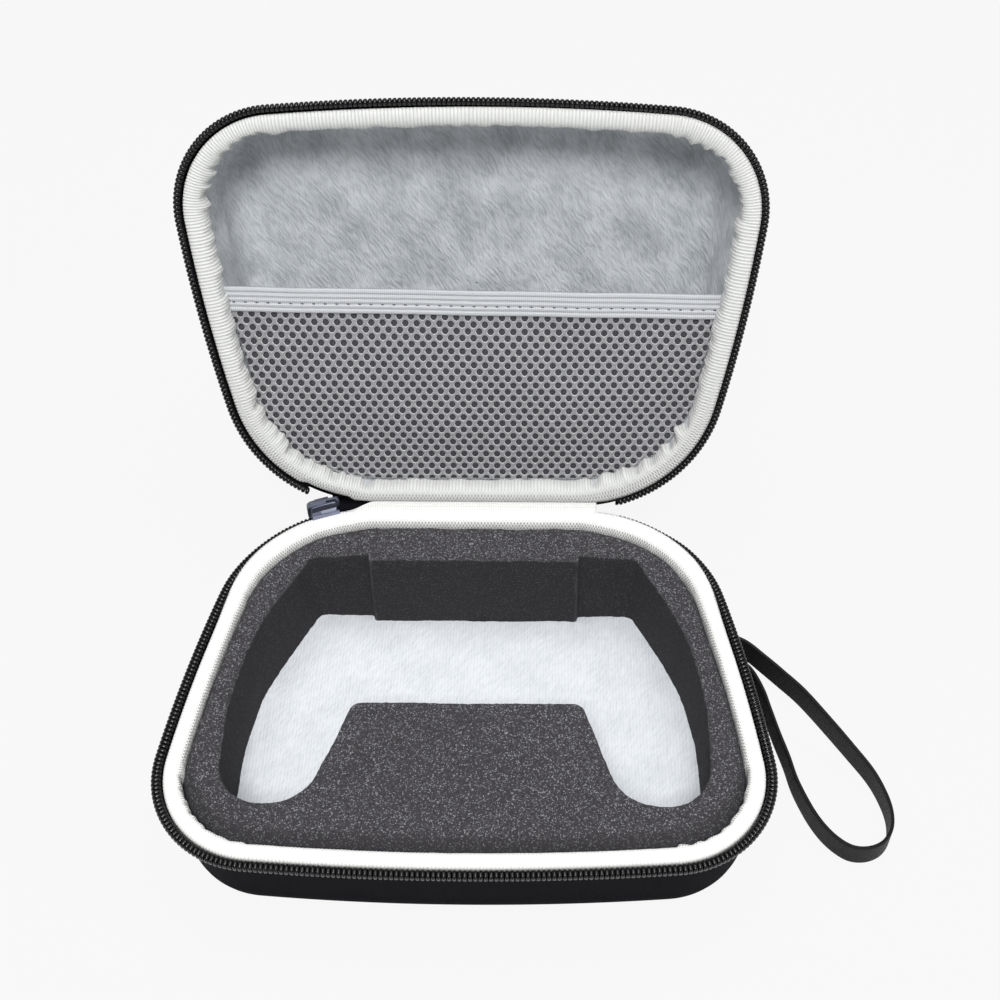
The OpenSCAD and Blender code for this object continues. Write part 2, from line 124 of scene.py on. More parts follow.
def length(name, description, default):
    """Property for a real length."""
    return FloatProperty(name=name, description=description, default=default, unit="LENGTH", precision=5)


def colour(name, description, code):
    """Property for a colour, given as sRGB hex."""
    return FloatVectorProperty(
        name=name, description=description, default=linear(code), subtype="COLOR", size=4, min=0, max=1
    )


class CaseSizes(bpy.types.PropertyGroup):
    """Sizes of the case's soft and sewn pieces."""

    width: length("Width", "Width over the zip", 2 * COIL_HIGH.x)
    depth: length("Depth", "Depth over the zip", -2 * COIL_LOW.y)
    front_corner: length("Front corner", "Plan radius of the front corners", 36 * MM)
    rear_corner: length("Rear corner", "Plan radius of the rear corners", 52 * MM)
    front_bow: length("Front bow", "Plan radius of the front edge", 850 * MM)
    side_bow: length("Side bow", "Plan radius of each side", 560 * MM)
    rear_straight: length("Rear straight", "Straight length of the rear edge", 75 * MM)
    rim_inset: length("Rim inset", "Zip's edge to the shell wall", COIL_HIGH.x - SHELL_HIGH.x)
    wall_top: length("Wall top", "Height of the shell's cut edge", SHELL_HIGH.z)
    draft_top: length("Draft top", "Height where the wall starts to lean in", 34 * MM)
    wall_draft: length("Wall draft", "How far the wall leans in towards the bottom", 2.5 * MM)
    bottom_radius: length("Bottom radius", "Radius of the shells' bottom edge", 13 * MM)
    shell: length("Shell", "Thickness of the moulded board with its cloth", 3 * MM)
    lining: length("Lining", "Thickness of the plush", 1 * MM)
    binding: length("Binding", "Thickness of the binding tape", 0.7 * MM)
    crest: length("Crest", "Height of the binding's crest", 41.6 * MM)
    rib_pitch: length("Rib pitch", "Spacing of the binding's ribs", 1.2 * MM)
    coil_pitch: length("Coil pitch", "Spacing of the zip's teeth", 1.6 * MM)
    coil_wire: length("Coil wire", "Radius of the zip's nylon wire across the tape", 0.46 * MM)
    coil_spread: FloatProperty(name="Coil spread", description="How much wider the wire is pressed along the zip",
                               default=1.45, min=1, max=1.6)
    foam_edge: length("Foam edge", "Radius of the foam's pressed outer edge", 2.2 * MM)
    strap_width: length("Strap width", "Width of the strap's webbing", 10 * MM)
    strap_thickness: length("Strap thickness", "Thickness of the strap's webbing", 1.2 * MM)
    band_width: length("Band width", "Width of the pocket's elastic", 9 * MM)
    band_ribs: IntProperty(name="Band ribs", description="Ribs woven into the elastic", default=5, min=3, max=7)
    mesh_pitch: length("Mesh pitch", "Spacing of the mesh's openings along a row", 4 * MM)
    mesh_row: length("Mesh row", "Spacing of the mesh's rows", 2.5 * MM)
    mesh_hole: length("Mesh opening", "Diameter of the mesh's openings", 2.5 * MM)


class CaseColours(bpy.types.PropertyGroup):
    """Colours of the case's materials."""

    shell: colour("Shell cloth", "Black cloth on the outside", "#0c0b10")
    plush: colour("Plush", "Light side of the plush", "#dbdee2")
    plush_shade: colour("Plush shade", "Base's plush where its nap leans away", "#b6bbc0")
    # The lid's plush is the base's fabric; its darker nap colour is painted shade of the lid's dimmer light
    lid_plush_painted_shade: colour("Plush nap", "Lid's plush where its nap leans away", "#8e9398")
    foam: colour("Foam", "Foam's own colour", "#39373b")
    foam_fleck: colour("Foam fleck", "Cut cell walls that catch the light", "#9c9ca0")
    binding: colour("Binding", "White binding tape of the base", "#e6e6e4")
    # The lid's binding is the base's white tape; its greyer colour is painted shade of the lid's dimmer light
    lid_binding: colour("Lid binding", "White binding tape of the lid", "#cccdcb")
    tape: colour("Zip tape", "Black zip tape", "#0f0f11")
    coil: colour("Zip coil", "Black nylon coil", "#08080a")
    hinge: colour("Hinge cloth", "Pale cloth inside the hinge", "#ececea")
    webbing: colour("Webbing", "Black strap", "#121215")
    metal: colour("Gunmetal", "Plated zinc of the slider", "#5d616e")
    mesh: colour("Mesh", "Yarn between the mesh's openings", "#8d8d90")
    # Painted highlight on the edge of each opening
    mesh_rim_painted_highlight: colour("Mesh rim", "Yarn drawn tight round each opening", "#b4b4b6")
    # The back face is real; its dark grey is partly painted shade of the pocket behind it
    mesh_back: colour("Mesh back", "Back face seen through the openings", "#54545a")
    elastic: colour("Elastic", "Pocket's elastic band", "#c6c8cc")
    stitch: colour("Stitch", "Needle holes of the pocket's seam", "#4c4d52")
    floor: colour("Floor", "Surface that the case stands on", "#f2f2f2")
    backdrop: colour("Backdrop", "Background seen by the camera", "#f7f7f7")


# Nodes and materials


def feed(tree, node, inputs):
    """Links or sets a node's inputs. A node given for an input stands for its first output."""
    for name, value in inputs.items():
        if isinstance(value, bpy.types.Node):
            value = value.outputs[0]
        if isinstance(value, bpy.types.NodeSocket):
            tree.links.new(value, node.inputs[name])
        else:
            node.inputs[name].default_value = value
    return node


def add(tree, kind, inputs=None, **settings):
    """Adds a node with its settings, and links or sets its inputs."""
    node = tree.nodes.new(kind)
    for name, value in settings.items():
        setattr(node, name, value)
    return feed(tree, node, inputs or {})


def new_material(name, shader_inputs):
    """Material with one Principled shader, whose constants stand on its own sockets. Its tree and shader are
    None where it has been made before."""
    material = bpy.data.materials.get(name)
    if material:
        return material, None, None
    material = bpy.data.materials.new(name)
    material.use_nodes = True
    tree = material.node_tree
    return material, tree, feed(tree, tree.nodes["Principled BSDF"], shader_inputs)


def band_scale(period):
    """Scale of a band wave texture whose bands repeat after this length."""
    return 2 * math.pi / 20 / period


def toned(tone, factor):
    """Colour made darker or lighter."""
    return [min(1, c * factor) for c in tone[:3]] + [1]


def crossed_threads(tree, flat, thread):
    """Height of a plain weave, which stands up where warp and weft cross."""
    warp = add(tree, "ShaderNodeTexWave", {"Vector": flat, "Scale": band_scale(thread)}, bands_direction="X")
    weft = add(tree, "ShaderNodeTexWave", {"Vector": flat, "Scale": band_scale(thread)}, bands_direction="Y")
    return add(tree, "ShaderNodeMath", {0: warp.outputs["Fac"], 1: weft.outputs["Fac"]}, operation="MULTIPLY")


def moulded_polyester(colours):
    """Polyester cloth laminated on foam board in a heated mould: a flat satin black with a faint fine weave."""
    material, tree, shader = new_material(
        "Moulded polyester cloth", {"Roughness": 0.85, "IOR": 1.5, "Specular IOR Level": 0.05}
    )
    if not tree:
        return material
    flat = add(tree, "ShaderNodeUVMap", uv_map="Flat")
    # Threads of 0.25 mm are too fine to show, so they are drawn at 0.6 mm
    weave = crossed_threads(tree, flat, 0.6)
    wear = add(tree, "ShaderNodeTexNoise", {"Vector": flat, "Scale": 1 / 14, "Detail": 5.0})
    wear_and_edge_highlight = add(tree, "ShaderNodeMix", {0: wear, 6: toned(colours.shell, 0.8), 7: toned(colours.shell, 1.35)},
               data_type="RGBA")
    relief = add(tree, "ShaderNodeBump", {"Height": weave, "Distance": 0.06 * MM, "Strength": 0.6})
    feed(tree, shader, {"Base Color": wear_and_edge_highlight.outputs[2], "Normal": relief})
    return material


def short_plush(colours, body):
    """Knitted plush with a short brushed pile. Brushed both ways in the lid, its nap leans in streaks and patches,
    painted darker and with more contrast than in the base, as painted shade of the lid's dim, grazing light. In the
    base it lies flatter, and the wales of its knit show through as fine upright ribs."""
    material, tree, shader = new_material(
        f"Short pile plush of the {body}",
        {"Roughness": 0.95, "IOR": 1.45, "Sheen Weight": 0.2, "Sheen Roughness": 0.6},
    )
    if not tree:
        return material
    # The lid's darker nap colour and deeper dark tones are painted shade
    if body == "lid":
        shade, patchy, dark, ribbed, rib_height, depth = colours.lid_plush_painted_shade, 0.36, 0.12, 0.05, 0.05, 0.9 * MM
    else:
        shade, patchy, dark, ribbed, rib_height, depth = colours.plush_shade, 0.2, 0.3, 0.2, 0.3, 0.4 * MM
    flat = add(tree, "ShaderNodeUVMap", uv_map="Flat")
    # Patches of nap, a thumb wide
    patch = add(tree, "ShaderNodeTexNoise", {"Vector": flat, "Scale": 1 / 17, "Detail": 3.0, "Roughness": 0.5})
    lean = add(tree, "ShaderNodeVectorMath", {0: patch.outputs["Color"], "Scale": 6.0}, operation="SCALE")
    bent = add(tree, "ShaderNodeVectorMath", {0: flat, 1: lean}, operation="ADD")
    # Streaks of pile, 0.75 mm wide and 4 mm long, that lean to the right
    turned = add(tree, "ShaderNodeMapping", {"Vector": bent, "Rotation": (0, 0, -0.6), "Scale": (0.75, 4, 1)},
                 vector_type="TEXTURE")
    streak = add(tree, "ShaderNodeTexNoise", {"Vector": turned, "Scale": 1.0, "Detail": 2.5, "Roughness": 0.5})
    # Wales of the knit, 1.15 mm apart
    wale = add(tree, "ShaderNodeTexWave", {"Vector": flat, "Scale": band_scale(1.15), "Distortion": 1.2,
                                          "Detail": 2.0, "Detail Scale": 0.35}, bands_direction="X").outputs["Fac"]
    level = add(tree, "ShaderNodeMapRange", {"Value": patch, "From Min": 0.36, "From Max": 0.62})
    fine = add(tree, "ShaderNodeMapRange", {"Value": streak, "From Min": 0.36, "From Max": 0.58})
    tone = add(tree, "ShaderNodeMath", {0: level, 1: patchy, 2: dark}, operation="MULTIPLY_ADD")
    tone = add(tree, "ShaderNodeMath", {0: fine, 1: 0.28, 2: tone}, operation="MULTIPLY_ADD")
    tone = add(tree, "ShaderNodeMath", {0: wale, 1: ribbed, 2: tone}, operation="MULTIPLY_ADD")
    nap = add(tree, "ShaderNodeMix", {0: tone, 6: shade, 7: colours.plush}, data_type="RGBA")
    height = add(tree, "ShaderNodeMath", {0: wale, 1: rib_height, 2: streak}, operation="MULTIPLY_ADD")
    relief = add(tree, "ShaderNodeBump", {"Height": height, "Distance": depth, "Strength": 0.9})
    feed(tree, shader, {"Base Color": nap.outputs[2], "Normal": relief})
    return material


def cut_foam(colours):
    """Open-cell polyurethane foam, die cut: matt dark grey, grained by its cells, with a few glinting cell walls."""
    material, tree, shader = new_material("Cut open-cell foam", {"Roughness": 0.95, "IOR": 1.4})
    if not tree:
        return material
    place = add(tree, "ShaderNodeTexCoord").outputs["Object"]
    surface = add(tree, "ShaderNodeNewGeometry").outputs
    # Cells of 0.32 mm, a fifth of which glint. The glints are painted highlights, painted denser on faces turned up
    # towards the light
    cell = add(tree, "ShaderNodeTexVoronoi", {"Vector": place, "Scale": 1 / (0.32 * MM)})
    fleck = add(tree, "ShaderNodeSeparateColor", {"Color": cell.outputs["Color"]})
    upward = add(tree, "ShaderNodeSeparateXYZ", {"Vector": surface["Normal"]})
    shine = add(tree, "ShaderNodeMapRange", {"Value": fleck, "From Min": 0.82, "From Max": 1.05})
    upward_painted_glint = add(tree, "ShaderNodeMapRange", {"Value": upward.outputs["Z"], "From Min": 0.2, "From Max": 0.9,
                                                "To Min": 0.55, "To Max": 1.0})
    shine = add(tree, "ShaderNodeMath", {0: shine, 1: upward_painted_glint}, operation="MULTIPLY")
    grain = add(tree, "ShaderNodeTexNoise", {"Vector": place, "Scale": 1 / (0.8 * MM), "Detail": 4.0,
                                            "Roughness": 0.7})
    contrast = add(tree, "ShaderNodeMapRange", {"Value": grain, "From Min": 0.3, "From Max": 0.7})
    body = add(tree, "ShaderNodeMix", {0: contrast, 6: toned(colours.foam, 0.42), 7: toned(colours.foam, 1.35)},
               data_type="RGBA")
    # Below the top the foam is painted darker, as painted shade on its rounded outer edge and down the cut-out's
    # walls
    chart = add(tree, "ShaderNodeUVMap", uv_map="PaintedShade")
    painted_shade = add(tree, "ShaderNodeSeparateXYZ", {"Vector": chart})
    body = add(tree, "ShaderNodeMix", {0: painted_shade, 6: body.outputs[2], 7: toned(colours.foam, 0.62)},
               data_type="RGBA")
    # Fewer painted glints are left where the painted shade lies
    left = add(tree, "ShaderNodeMath", {0: painted_shade, 1: -0.6, 2: 1.0}, operation="MULTIPLY_ADD")
    shine = add(tree, "ShaderNodeMath", {0: left, 1: shine}, operation="MULTIPLY")
    # Its sharp edges are painted pale, as a painted highlight
    pale_edge_highlight = add(tree, "ShaderNodeMapRange", {"Value": surface["Pointiness"], "From Min": 0.53, "From Max": 0.6,
                                              "To Max": 0.45})
    body = add(tree, "ShaderNodeMix", {0: pale_edge_highlight, 6: body.outputs[2], 7: colours.foam_fleck}, data_type="RGBA")
    body = add(tree, "ShaderNodeMix", {0: shine, 6: body.outputs[2], 7: colours.foam_fleck}, data_type="RGBA")
    relief = add(tree, "ShaderNodeBump", {"Height": grain, "Distance": 0.5 * MM, "Strength": 0.9})
    feed(tree, shader, {"Base Color": body.outputs[2], "Normal": relief})
    return material


def woven_tape(name, tone, thread, roughness, depth):
    """Plain woven tape: rows of small knuckles where warp and weft cross. Between its threads the colour is painted
    darker, as painted shade.
    """
    material, tree, shader = new_material(name, {"Roughness": roughness, "IOR": 1.5, "Specular IOR Level": 0.2})
    if not tree:
        return material
    flat = add(tree, "ShaderNodeUVMap", uv_map="Flat")
    knuckle = crossed_threads(tree, flat, thread)
    # The hollows between the knuckles are painted darker, as painted shade
    yarn = add(tree, "ShaderNodeMix", {0: knuckle, 6: toned(tone, 0.72), 7: tone}, data_type="RGBA")
    relief = add(tree, "ShaderNodeBump", {"Height": knuckle, "Distance": depth, "Strength": 0.8})
    feed(tree, shader, {"Base Color": yarn.outputs[2], "Normal": relief})
    return material


def ribbed_binding(colours, body, half):
    """Knitted polyester binding: bright white, with fine upright ribs. Where it is stretched its stitches open into
    a honeycomb of small dark eyes: over the lid's edge beside the hinge, and down the inner leg in the base. Its rib
    hollows are painted darker as painted shade, and the lid's tape greyer, as painted shade of the lid's dimmer
    light."""
    material, tree, shader = new_material(
        f"Knitted binding of the {body}", {"Roughness": 0.8, "IOR": 1.45, "Sheen Weight": 0.1, "Sheen Roughness": 0.5}
    )
    if not tree:
        return material
    # The lid's greyer colour and darker rib hollows are painted shade; the tape is the same as the base's
    if body == "lid":
        base, rib_low, dark, depth = colours.lid_binding, -0.9, 0.5, 0.22 * MM
    else:
        base, rib_low, dark, depth = colours.binding, -1.8, 0.4, 0.15 * MM
    flat = add(tree, "ShaderNodeUVMap", uv_map="Flat")
    chart = add(tree, "ShaderNodeSeparateXYZ", {"Vector": flat}).outputs
    # Eyes 1.2 mm apart along a row, rows 1.1 mm apart and staggered
    wide = add(tree, "ShaderNodeTexWave", {"Vector": flat, "Scale": band_scale(1.2)}, bands_direction="X")
    tall = add(tree, "ShaderNodeTexWave", {"Vector": flat, "Scale": band_scale(2.2)}, bands_direction="Y")
    rib = add(tree, "ShaderNodeMapRange", {"Value": wide.outputs["Fac"], "From Min": rib_low, "From Max": 0.6})
    wide = add(tree, "ShaderNodeMath", {0: wide.outputs["Fac"], 1: 2.0, 2: -1.0}, operation="MULTIPLY_ADD")
    tall = add(tree, "ShaderNodeMath", {0: tall.outputs["Fac"], 1: 2.0, 2: -1.0}, operation="MULTIPLY_ADD")
    stagger = add(tree, "ShaderNodeMath", {0: wide, 1: tall}, operation="MULTIPLY")
    comb = add(tree, "ShaderNodeMapRange", {"Value": stagger, "From Min": -0.8, "From Max": 0.25})
    if body == "lid":
        outer = add(tree, "ShaderNodeMapRange", {"Value": chart["Y"], "From Min": 12.5, "From Max": 9.0})
        along = add(tree, "ShaderNodeMath", {0: chart["X"], 1: half}, operation="SUBTRACT")
        along = add(tree, "ShaderNodeMath", {0: along}, operation="ABSOLUTE")
        beside = add(tree, "ShaderNodeMapRange", {"Value": along, "From Min": 125.0, "From Max": 85.0})
        stretched = add(tree, "ShaderNodeMath", {0: outer, 1: beside}, operation="MULTIPLY")
    else:
        stretched = add(tree, "ShaderNodeMapRange", {"Value": chart["Y"], "From Min": 10.4, "From Max": 12.0})
    height = add(tree, "ShaderNodeMix", {0: stretched, 2: rib, 3: comb}, data_type="FLOAT")
    yarn = add(tree, "ShaderNodeMix", {0: height, 6: toned(base, dark), 7: base}, data_type="RGBA")
    relief = add(tree, "ShaderNodeBump", {"Height": height, "Distance": depth, "Strength": 0.9})
    feed(tree, shader, {"Base Color": yarn.outputs[2], "Normal": relief})
    return material


def nylon_wire(colours):
    """Drawn nylon monofilament, dyed black: smooth and semi-gloss, so each tooth carries a small highlight."""
    material, tree, shader = new_material(
        "Drawn nylon wire", {"Roughness": 0.22, "IOR": 1.5, "Specular IOR Level": 0.38}
    )
    if tree:
        place = add(tree, "ShaderNodeTexCoord").outputs["Object"]
        haze = add(tree, "ShaderNodeTexNoise", {"Vector": place, "Scale": 1 / (2 * MM), "Detail": 2.0})
        rough = add(tree, "ShaderNodeMapRange", {"Value": haze, "To Min": 0.16, "To Max": 0.27})
        dye = add(tree, "ShaderNodeMix", {0: haze, 6: colours.coil, 7: toned(colours.coil, 1.5)}, data_type="RGBA")
        feed(tree, shader, {"Base Color": dye.outputs[2], "Roughness": rough})
    return material


def plated_zinc(colours):
    """Die-cast zinc with gunmetal plating: blue-grey and satin, with painted highlights on its sharp edges."""
    material, tree, shader = new_material("Gunmetal plated zinc", {"Roughness": 0.34, "Metallic": 0.9})
    if tree:
        place = add(tree, "ShaderNodeTexCoord").outputs["Object"]
        cast = add(tree, "ShaderNodeTexNoise", {"Vector": place, "Scale": 1 / (0.8 * MM), "Detail": 4.0})
        rough = add(tree, "ShaderNodeMapRange", {"Value": cast, "To Min": 0.26, "To Max": 0.46})
        # Sharp edges are painted brighter, as painted highlights
        edge = add(tree, "ShaderNodeNewGeometry").outputs["Pointiness"]
        wear_and_edge_highlight = add(tree, "ShaderNodeMapRange", {"Value": edge, "From Min": 0.52, "From Max": 0.6})
        plate = add(tree, "ShaderNodeMix", {0: wear_and_edge_highlight, 6: colours.metal, 7: toned(colours.metal, 2.2)},
                    data_type="RGBA")
        relief = add(tree, "ShaderNodeBump", {"Height": cast, "Distance": 0.02 * MM, "Strength": 0.5})
        feed(tree, shader, {"Base Color": plate.outputs[2], "Roughness": rough, "Normal": relief})
    return material


def knitted_mesh(colours):
    """Knitted spacer mesh: yarn painted paler round each opening as a painted highlight, with fine stitches along it.
    """
    material, tree, shader = new_material(
        "Knitted spacer mesh", {"Roughness": 0.8, "IOR": 1.5, "Sheen Weight": 0.15, "Sheen Roughness": 0.5}
    )
    if tree:
        flat = add(tree, "ShaderNodeUVMap", uv_map="Flat")
        away = add(tree, "ShaderNodeSeparateXYZ", {"Vector": add(tree, "ShaderNodeUVMap", uv_map="Opening")})
        # Yarn 0.45 mm thick; round each opening it is painted paler, a painted highlight on the opening's edge
        loops = add(tree, "ShaderNodeTexVoronoi", {"Vector": flat, "Scale": 1 / 0.45})
        broken = add(tree, "ShaderNodeMath", {0: loops, 1: 0.5, 2: away}, operation="MULTIPLY_ADD")
        rim = add(tree, "ShaderNodeMapRange", {"Value": broken, "From Min": 0.3, "From Max": 0.75})
        yarn = add(tree, "ShaderNodeMix", {0: rim, 6: colours.mesh_rim_painted_highlight, 7: colours.mesh}, data_type="RGBA")
        relief = add(tree, "ShaderNodeBump", {"Height": loops, "Distance": 0.25 * MM, "Strength": 0.8})
        feed(tree, shader, {"Base Color": yarn.outputs[2], "Normal": relief})
    return material


def mesh_backing(colours):
    """Back face of the spacer mesh: fine net seen only through the openings, its dark grey partly painted shade of
    the pocket behind.
    """
    return woven_tape("Spacer mesh back", colours.mesh_back, 0.9, 0.85, 0.1 * MM)


# Outline and mesh making


class Rim:
    """The case's outline at the zip's outermost edge, as evenly spaced points with their inward normals."""

    def __init__(self, size, step):
        front_x = size.width / 2 - size.front_corner
        bow = Vector((0, size.front_bow - size.depth / 2))
        drop = math.sqrt((size.front_bow - size.front_corner) ** 2 - front_x**2)
        front = Vector((front_x, bow.y - drop))
        rear = Vector((size.rear_straight / 2, size.depth / 2 - size.rear_corner))
        gap = rear - front
        front_reach = size.side_bow - size.front_corner
        rear_reach = size.side_bow - size.rear_corner
        along = (front_reach**2 - rear_reach**2 + gap.length**2) / (2 * gap.length)
        across = math.sqrt(front_reach**2 - along**2)
        side = front + gap.normalized() * along + Vector((-gap.y, gap.x)).normalized() * across
        bow_end = math.atan2(*(front - bow).yx)
        front_end = math.atan2(*(front - side).yx)
        side_end = math.atan2(*(rear - side).yx)
        arcs = [
            (bow, size.front_bow, -math.pi / 2, bow_end),
            (front, size.front_corner, bow_end, front_end),
            (side, size.side_bow, front_end, side_end),
            (rear, size.rear_corner, side_end, math.pi / 2),
        ]
        self.half_length = sum(r * (b - a) for _, r, a, b in arcs) + size.rear_straight / 2
        self.length = 2 * self.half_length
        count = 2 * round(self.half_length / step)
        self.along = np.arange(count) * self.length / count
        places, inward = [], []
        for distance in self.along:
            mirrored = distance > self.half_length
            rest = self.length - distance if mirrored else distance
            point, out = Vector((0, size.depth / 2)), Vector((0, 1))
            for centre, radius, start, end in arcs:
                if rest <= radius * (end - start):
                    angle = start + rest / radius
                    out = Vector((math.cos(angle), math.sin(angle)))
                    point = centre + radius * out
                    break
                rest -= radius * (end - start)
            else:
                point = Vector((size.rear_straight / 2 - rest, size.depth / 2))
            flip = -1 if mirrored else 1
            places.append((flip * point.x, point.y))
            inward.append((-flip * out.x, -out.y))
        self.places = np.array(places)
        self.inward = np.array(inward)

    def sweep(self, section):
        """Points [along][section] of a section of (inset, z) led round the outline."""
        section = np.asarray(section, float)
        flat = self.places[:, None, :] + self.inward[:, None, :] * section[None, :, :1]
        height = np.broadcast_to(section[None, :, 1:], (len(self.places), len(section), 1))
        return np.concatenate([flat, height], axis=2)

    def chart(self, section):
        """Flat chart in millimetres for a sweep: distance round the outline and along the section."""
        return grid_chart(np.append(self.along, self.length), run_length(section))


def run_length(points):
    """Distances along a line of points."""
    return np.concatenate([[0], np.cumsum(np.linalg.norm(np.diff(points, axis=0), axis=1))])


def directions(path):
    """Unit directions along a path."""
    run = np.gradient(path, axis=0)
    return run / np.linalg.norm(run, axis=1)[:, None]


def wander(along, grain, *place):
    """Smooth noise at distances along a line."""
    return np.array([noise.noise(Vector((s / grain, *place))) for s in along])


def smooth_curve(points, per_span):
    """Catmull-Rom curve through points, open at both ends."""
    points = [np.asarray(p, float) for p in points]
    padded = [2 * points[0] - points[1], *points, 2 * points[-1] - points[-2]]
    out = []
    for a, b, c, d in zip(padded, padded[1:], padded[2:], padded[3:]):
        for k in range(per_span):
            s = k / per_span
            square, cube = 2 * a - 5 * b + 4 * c - d, 3 * b - a - 3 * c + d
            out.append(0.5 * (2 * b + (c - a) * s + square * s**2 + cube * s**3))
    out.append(points[-1])
    return np.array(out)


def lattice(name, points, chart=None, around=False, tube=False, flip=False, caps=False):
    """Mesh object over a grid of points [along][across]. It closes along its length where it runs around,
    and across it where it is a tube."""
    rows, cols = points.shape[:2]
    i = np.arange(rows if around else rows - 1)[:, None]
    j = np.arange(cols if tube else cols - 1)[None, :]
    i2, j2 = (i + 1) % rows, (j + 1) % cols
    quads = np.stack([i * cols + j, i2 * cols + j, i2 * cols + j2, i * cols + j2], axis=2).reshape(-1, 4)
    shape = (*np.broadcast(i, j).shape, 4)
    corner_i = np.broadcast_to(np.stack([i, i + 1, i + 1, i], axis=2), shape)
    corner_j = np.broadcast_to(np.stack([j, j, j + 1, j + 1], axis=2), shape)
    if flip:
        quads, corner_i, corner_j = quads[:, ::-1], corner_i[..., ::-1], corner_j[..., ::-1]
    faces = quads.tolist()
    if caps:
        ends = [list(range(cols))[::-1], list(range((rows - 1) * cols, rows * cols))]
        faces += [e[::-1] for e in ends] if flip else ends
    mesh = bpy.data.meshes.new(name)
    mesh.from_pydata(points.reshape(-1, 3).tolist(), [], faces)
    if chart is not None:
        uv = chart[corner_i.reshape(-1), corner_j.reshape(-1)]
        layer = mesh.uv_layers.new(name="Flat")
        whole = np.zeros((len(mesh.loops), 2))
        whole[: len(uv)] = uv
        layer.data.foreach_set("uv", whole.ravel())
    mesh.shade_smooth()
    return place(name, mesh)


def place(name, mesh):
    """Object for a mesh, in the scene."""
    obj = bpy.data.objects.new(name, mesh)
    bpy.context.scene.collection.objects.link(obj)
    return obj


def place_bmesh(name, bm):
    """Object for a mesh that is done being edited, in the scene."""
    mesh = bpy.data.meshes.new(name)
    bm.to_mesh(mesh)
    bm.free()
    mesh.shade_smooth()
    return place(name, mesh)


def grid_chart(along, across):
    """Flat chart in millimetres from distances along and across a grid."""
    return np.stack(np.meshgrid(along, across, indexing="ij"), axis=2) / MM


def lid_matrix():
    """Takes a piece made in the base's place to its place in the open lid."""
    turn = Matrix.Rotation(-math.radians(OPEN_ANGLE), 4, "X")
    hinge = Matrix.Translation((0, HINGE_Y, HINGE_Z))
    return hinge @ turn @ Matrix.Translation((0, -HINGE_Y, HINGE_Z)) @ Matrix.Scale(-1, 4, (0, 0, 1))


def finish_piece(obj, material, body, slot, *nodes):
    """Gives a piece its material, puts it in the open lid where it belongs, ties it to its body and hides the nodes
    it stands in for.
    """
    obj.data.materials.append(material)
    if body == "lid":
        obj.data.transform(lid_matrix())
        obj.data.flip_normals()
    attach(obj, body)
    if nodes:
        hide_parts(*nodes)
    return obj


def ruffle(obj, grain, depth, seed):
    """Moves each vertex along its normal by smooth noise of this grain."""
    shift = Vector((seed * 1.7, seed * 3.1, seed * 0.9))
    normals = [v.normal.copy() for v in obj.data.vertices]
    for vertex, normal in zip(obj.data.vertices, normals):
        vertex.co += normal * (depth * noise.noise(vertex.co / grain + shift))


def smooth_step(value, low, high):
    """0 below low, 1 above high, and a smooth rise between."""
    t = np.clip((np.asarray(value, float) - low) / (high - low), 0, 1)
    return t * t * (3 - 2 * t)


# Sections and pieces


def dish_section(size, depth):
    """Section of the moulded shell from its rim to its floor, moved in by depth."""
    wall = [(size.rim_inset + depth, z) for z in np.linspace(size.wall_top, size.draft_top, 4)]
    r = size.bottom_radius
    foot = size.rim_inset + size.wall_draft + r
    low = [(foot - (r - depth) * math.sin(a), r - (r - depth) * math.cos(a))
           for a in np.linspace(math.pi / 2, 0, 12)]
    lean = [tuple(np.array(wall[-1]) * (1 - t) + np.array(low[0]) * t) for t in np.linspace(0, 1, 8)[1:-1]]
    return wall + lean + low


def dish_grid(size, rim, depth, floor_rings):
    """Points and chart of one face of a dish, from its rim to the middle of its floor."""
    section = np.array(dish_section(size, depth))
    points = rim.sweep(section)
    edge = points[:, -1:, :]
    shares = np.linspace(1, 0.004, floor_rings + 1)[1:]
    middle = np.array([0, 0, edge[0, 0, 2]])
    floor = middle + (edge - middle) * shares[None, :, None]
    # The chart lays the wall out flat, outside the floor's own plan
    across = run_length(section)
    out = section[-1, 0] - (across[-1] - across)
    wall_chart = rim.places[:, None, :] + rim.inward[:, None, :] * out[None, :, None]
    chart = np.concatenate([wall_chart, floor[:, :, :2]], axis=1) / MM
    chart = np.concatenate([chart, chart[:1]], axis=0)
    return np.concatenate([points, floor], axis=1), chart


def make_shell(size, colours, body):
    """Moulded shell with its outer cloth."""
    rim = Rim(size, 2 * MM)
    outer, outer_chart = dish_grid(size, rim, 0, 6)
    inner, inner_chart = dish_grid(size, rim, size.shell, 6)
    points = crowd(np.concatenate([outer[:, ::-1], inner], axis=1), body)
    chart = np.concatenate([outer_chart[:, ::-1], inner_chart], axis=1)
    obj = lattice(f"{body}_moulded_shell", points, chart, around=True)
    finish_piece(obj, moulded_polyester(colours), body, "shell_fabric", f"{body}_shell")


def make_lining(size, colours, body):
    """Plush lining of one shell, with the swells of its pile."""
    rim = Rim(size, 1.6 * MM)
    points, chart = dish_grid(size, rim, size.shell + size.lining, 44)
    obj = lattice(f"{body}_plush_lining", crowd(points, body), chart, around=True)
    ruffle(obj, 9 * MM, 0.45 * MM, 3)
    ruffle(obj, 2.2 * MM, 0.25 * MM, 8)
    finish_piece(obj, short_plush(colours, body), body, "plush", f"{body}_lining")


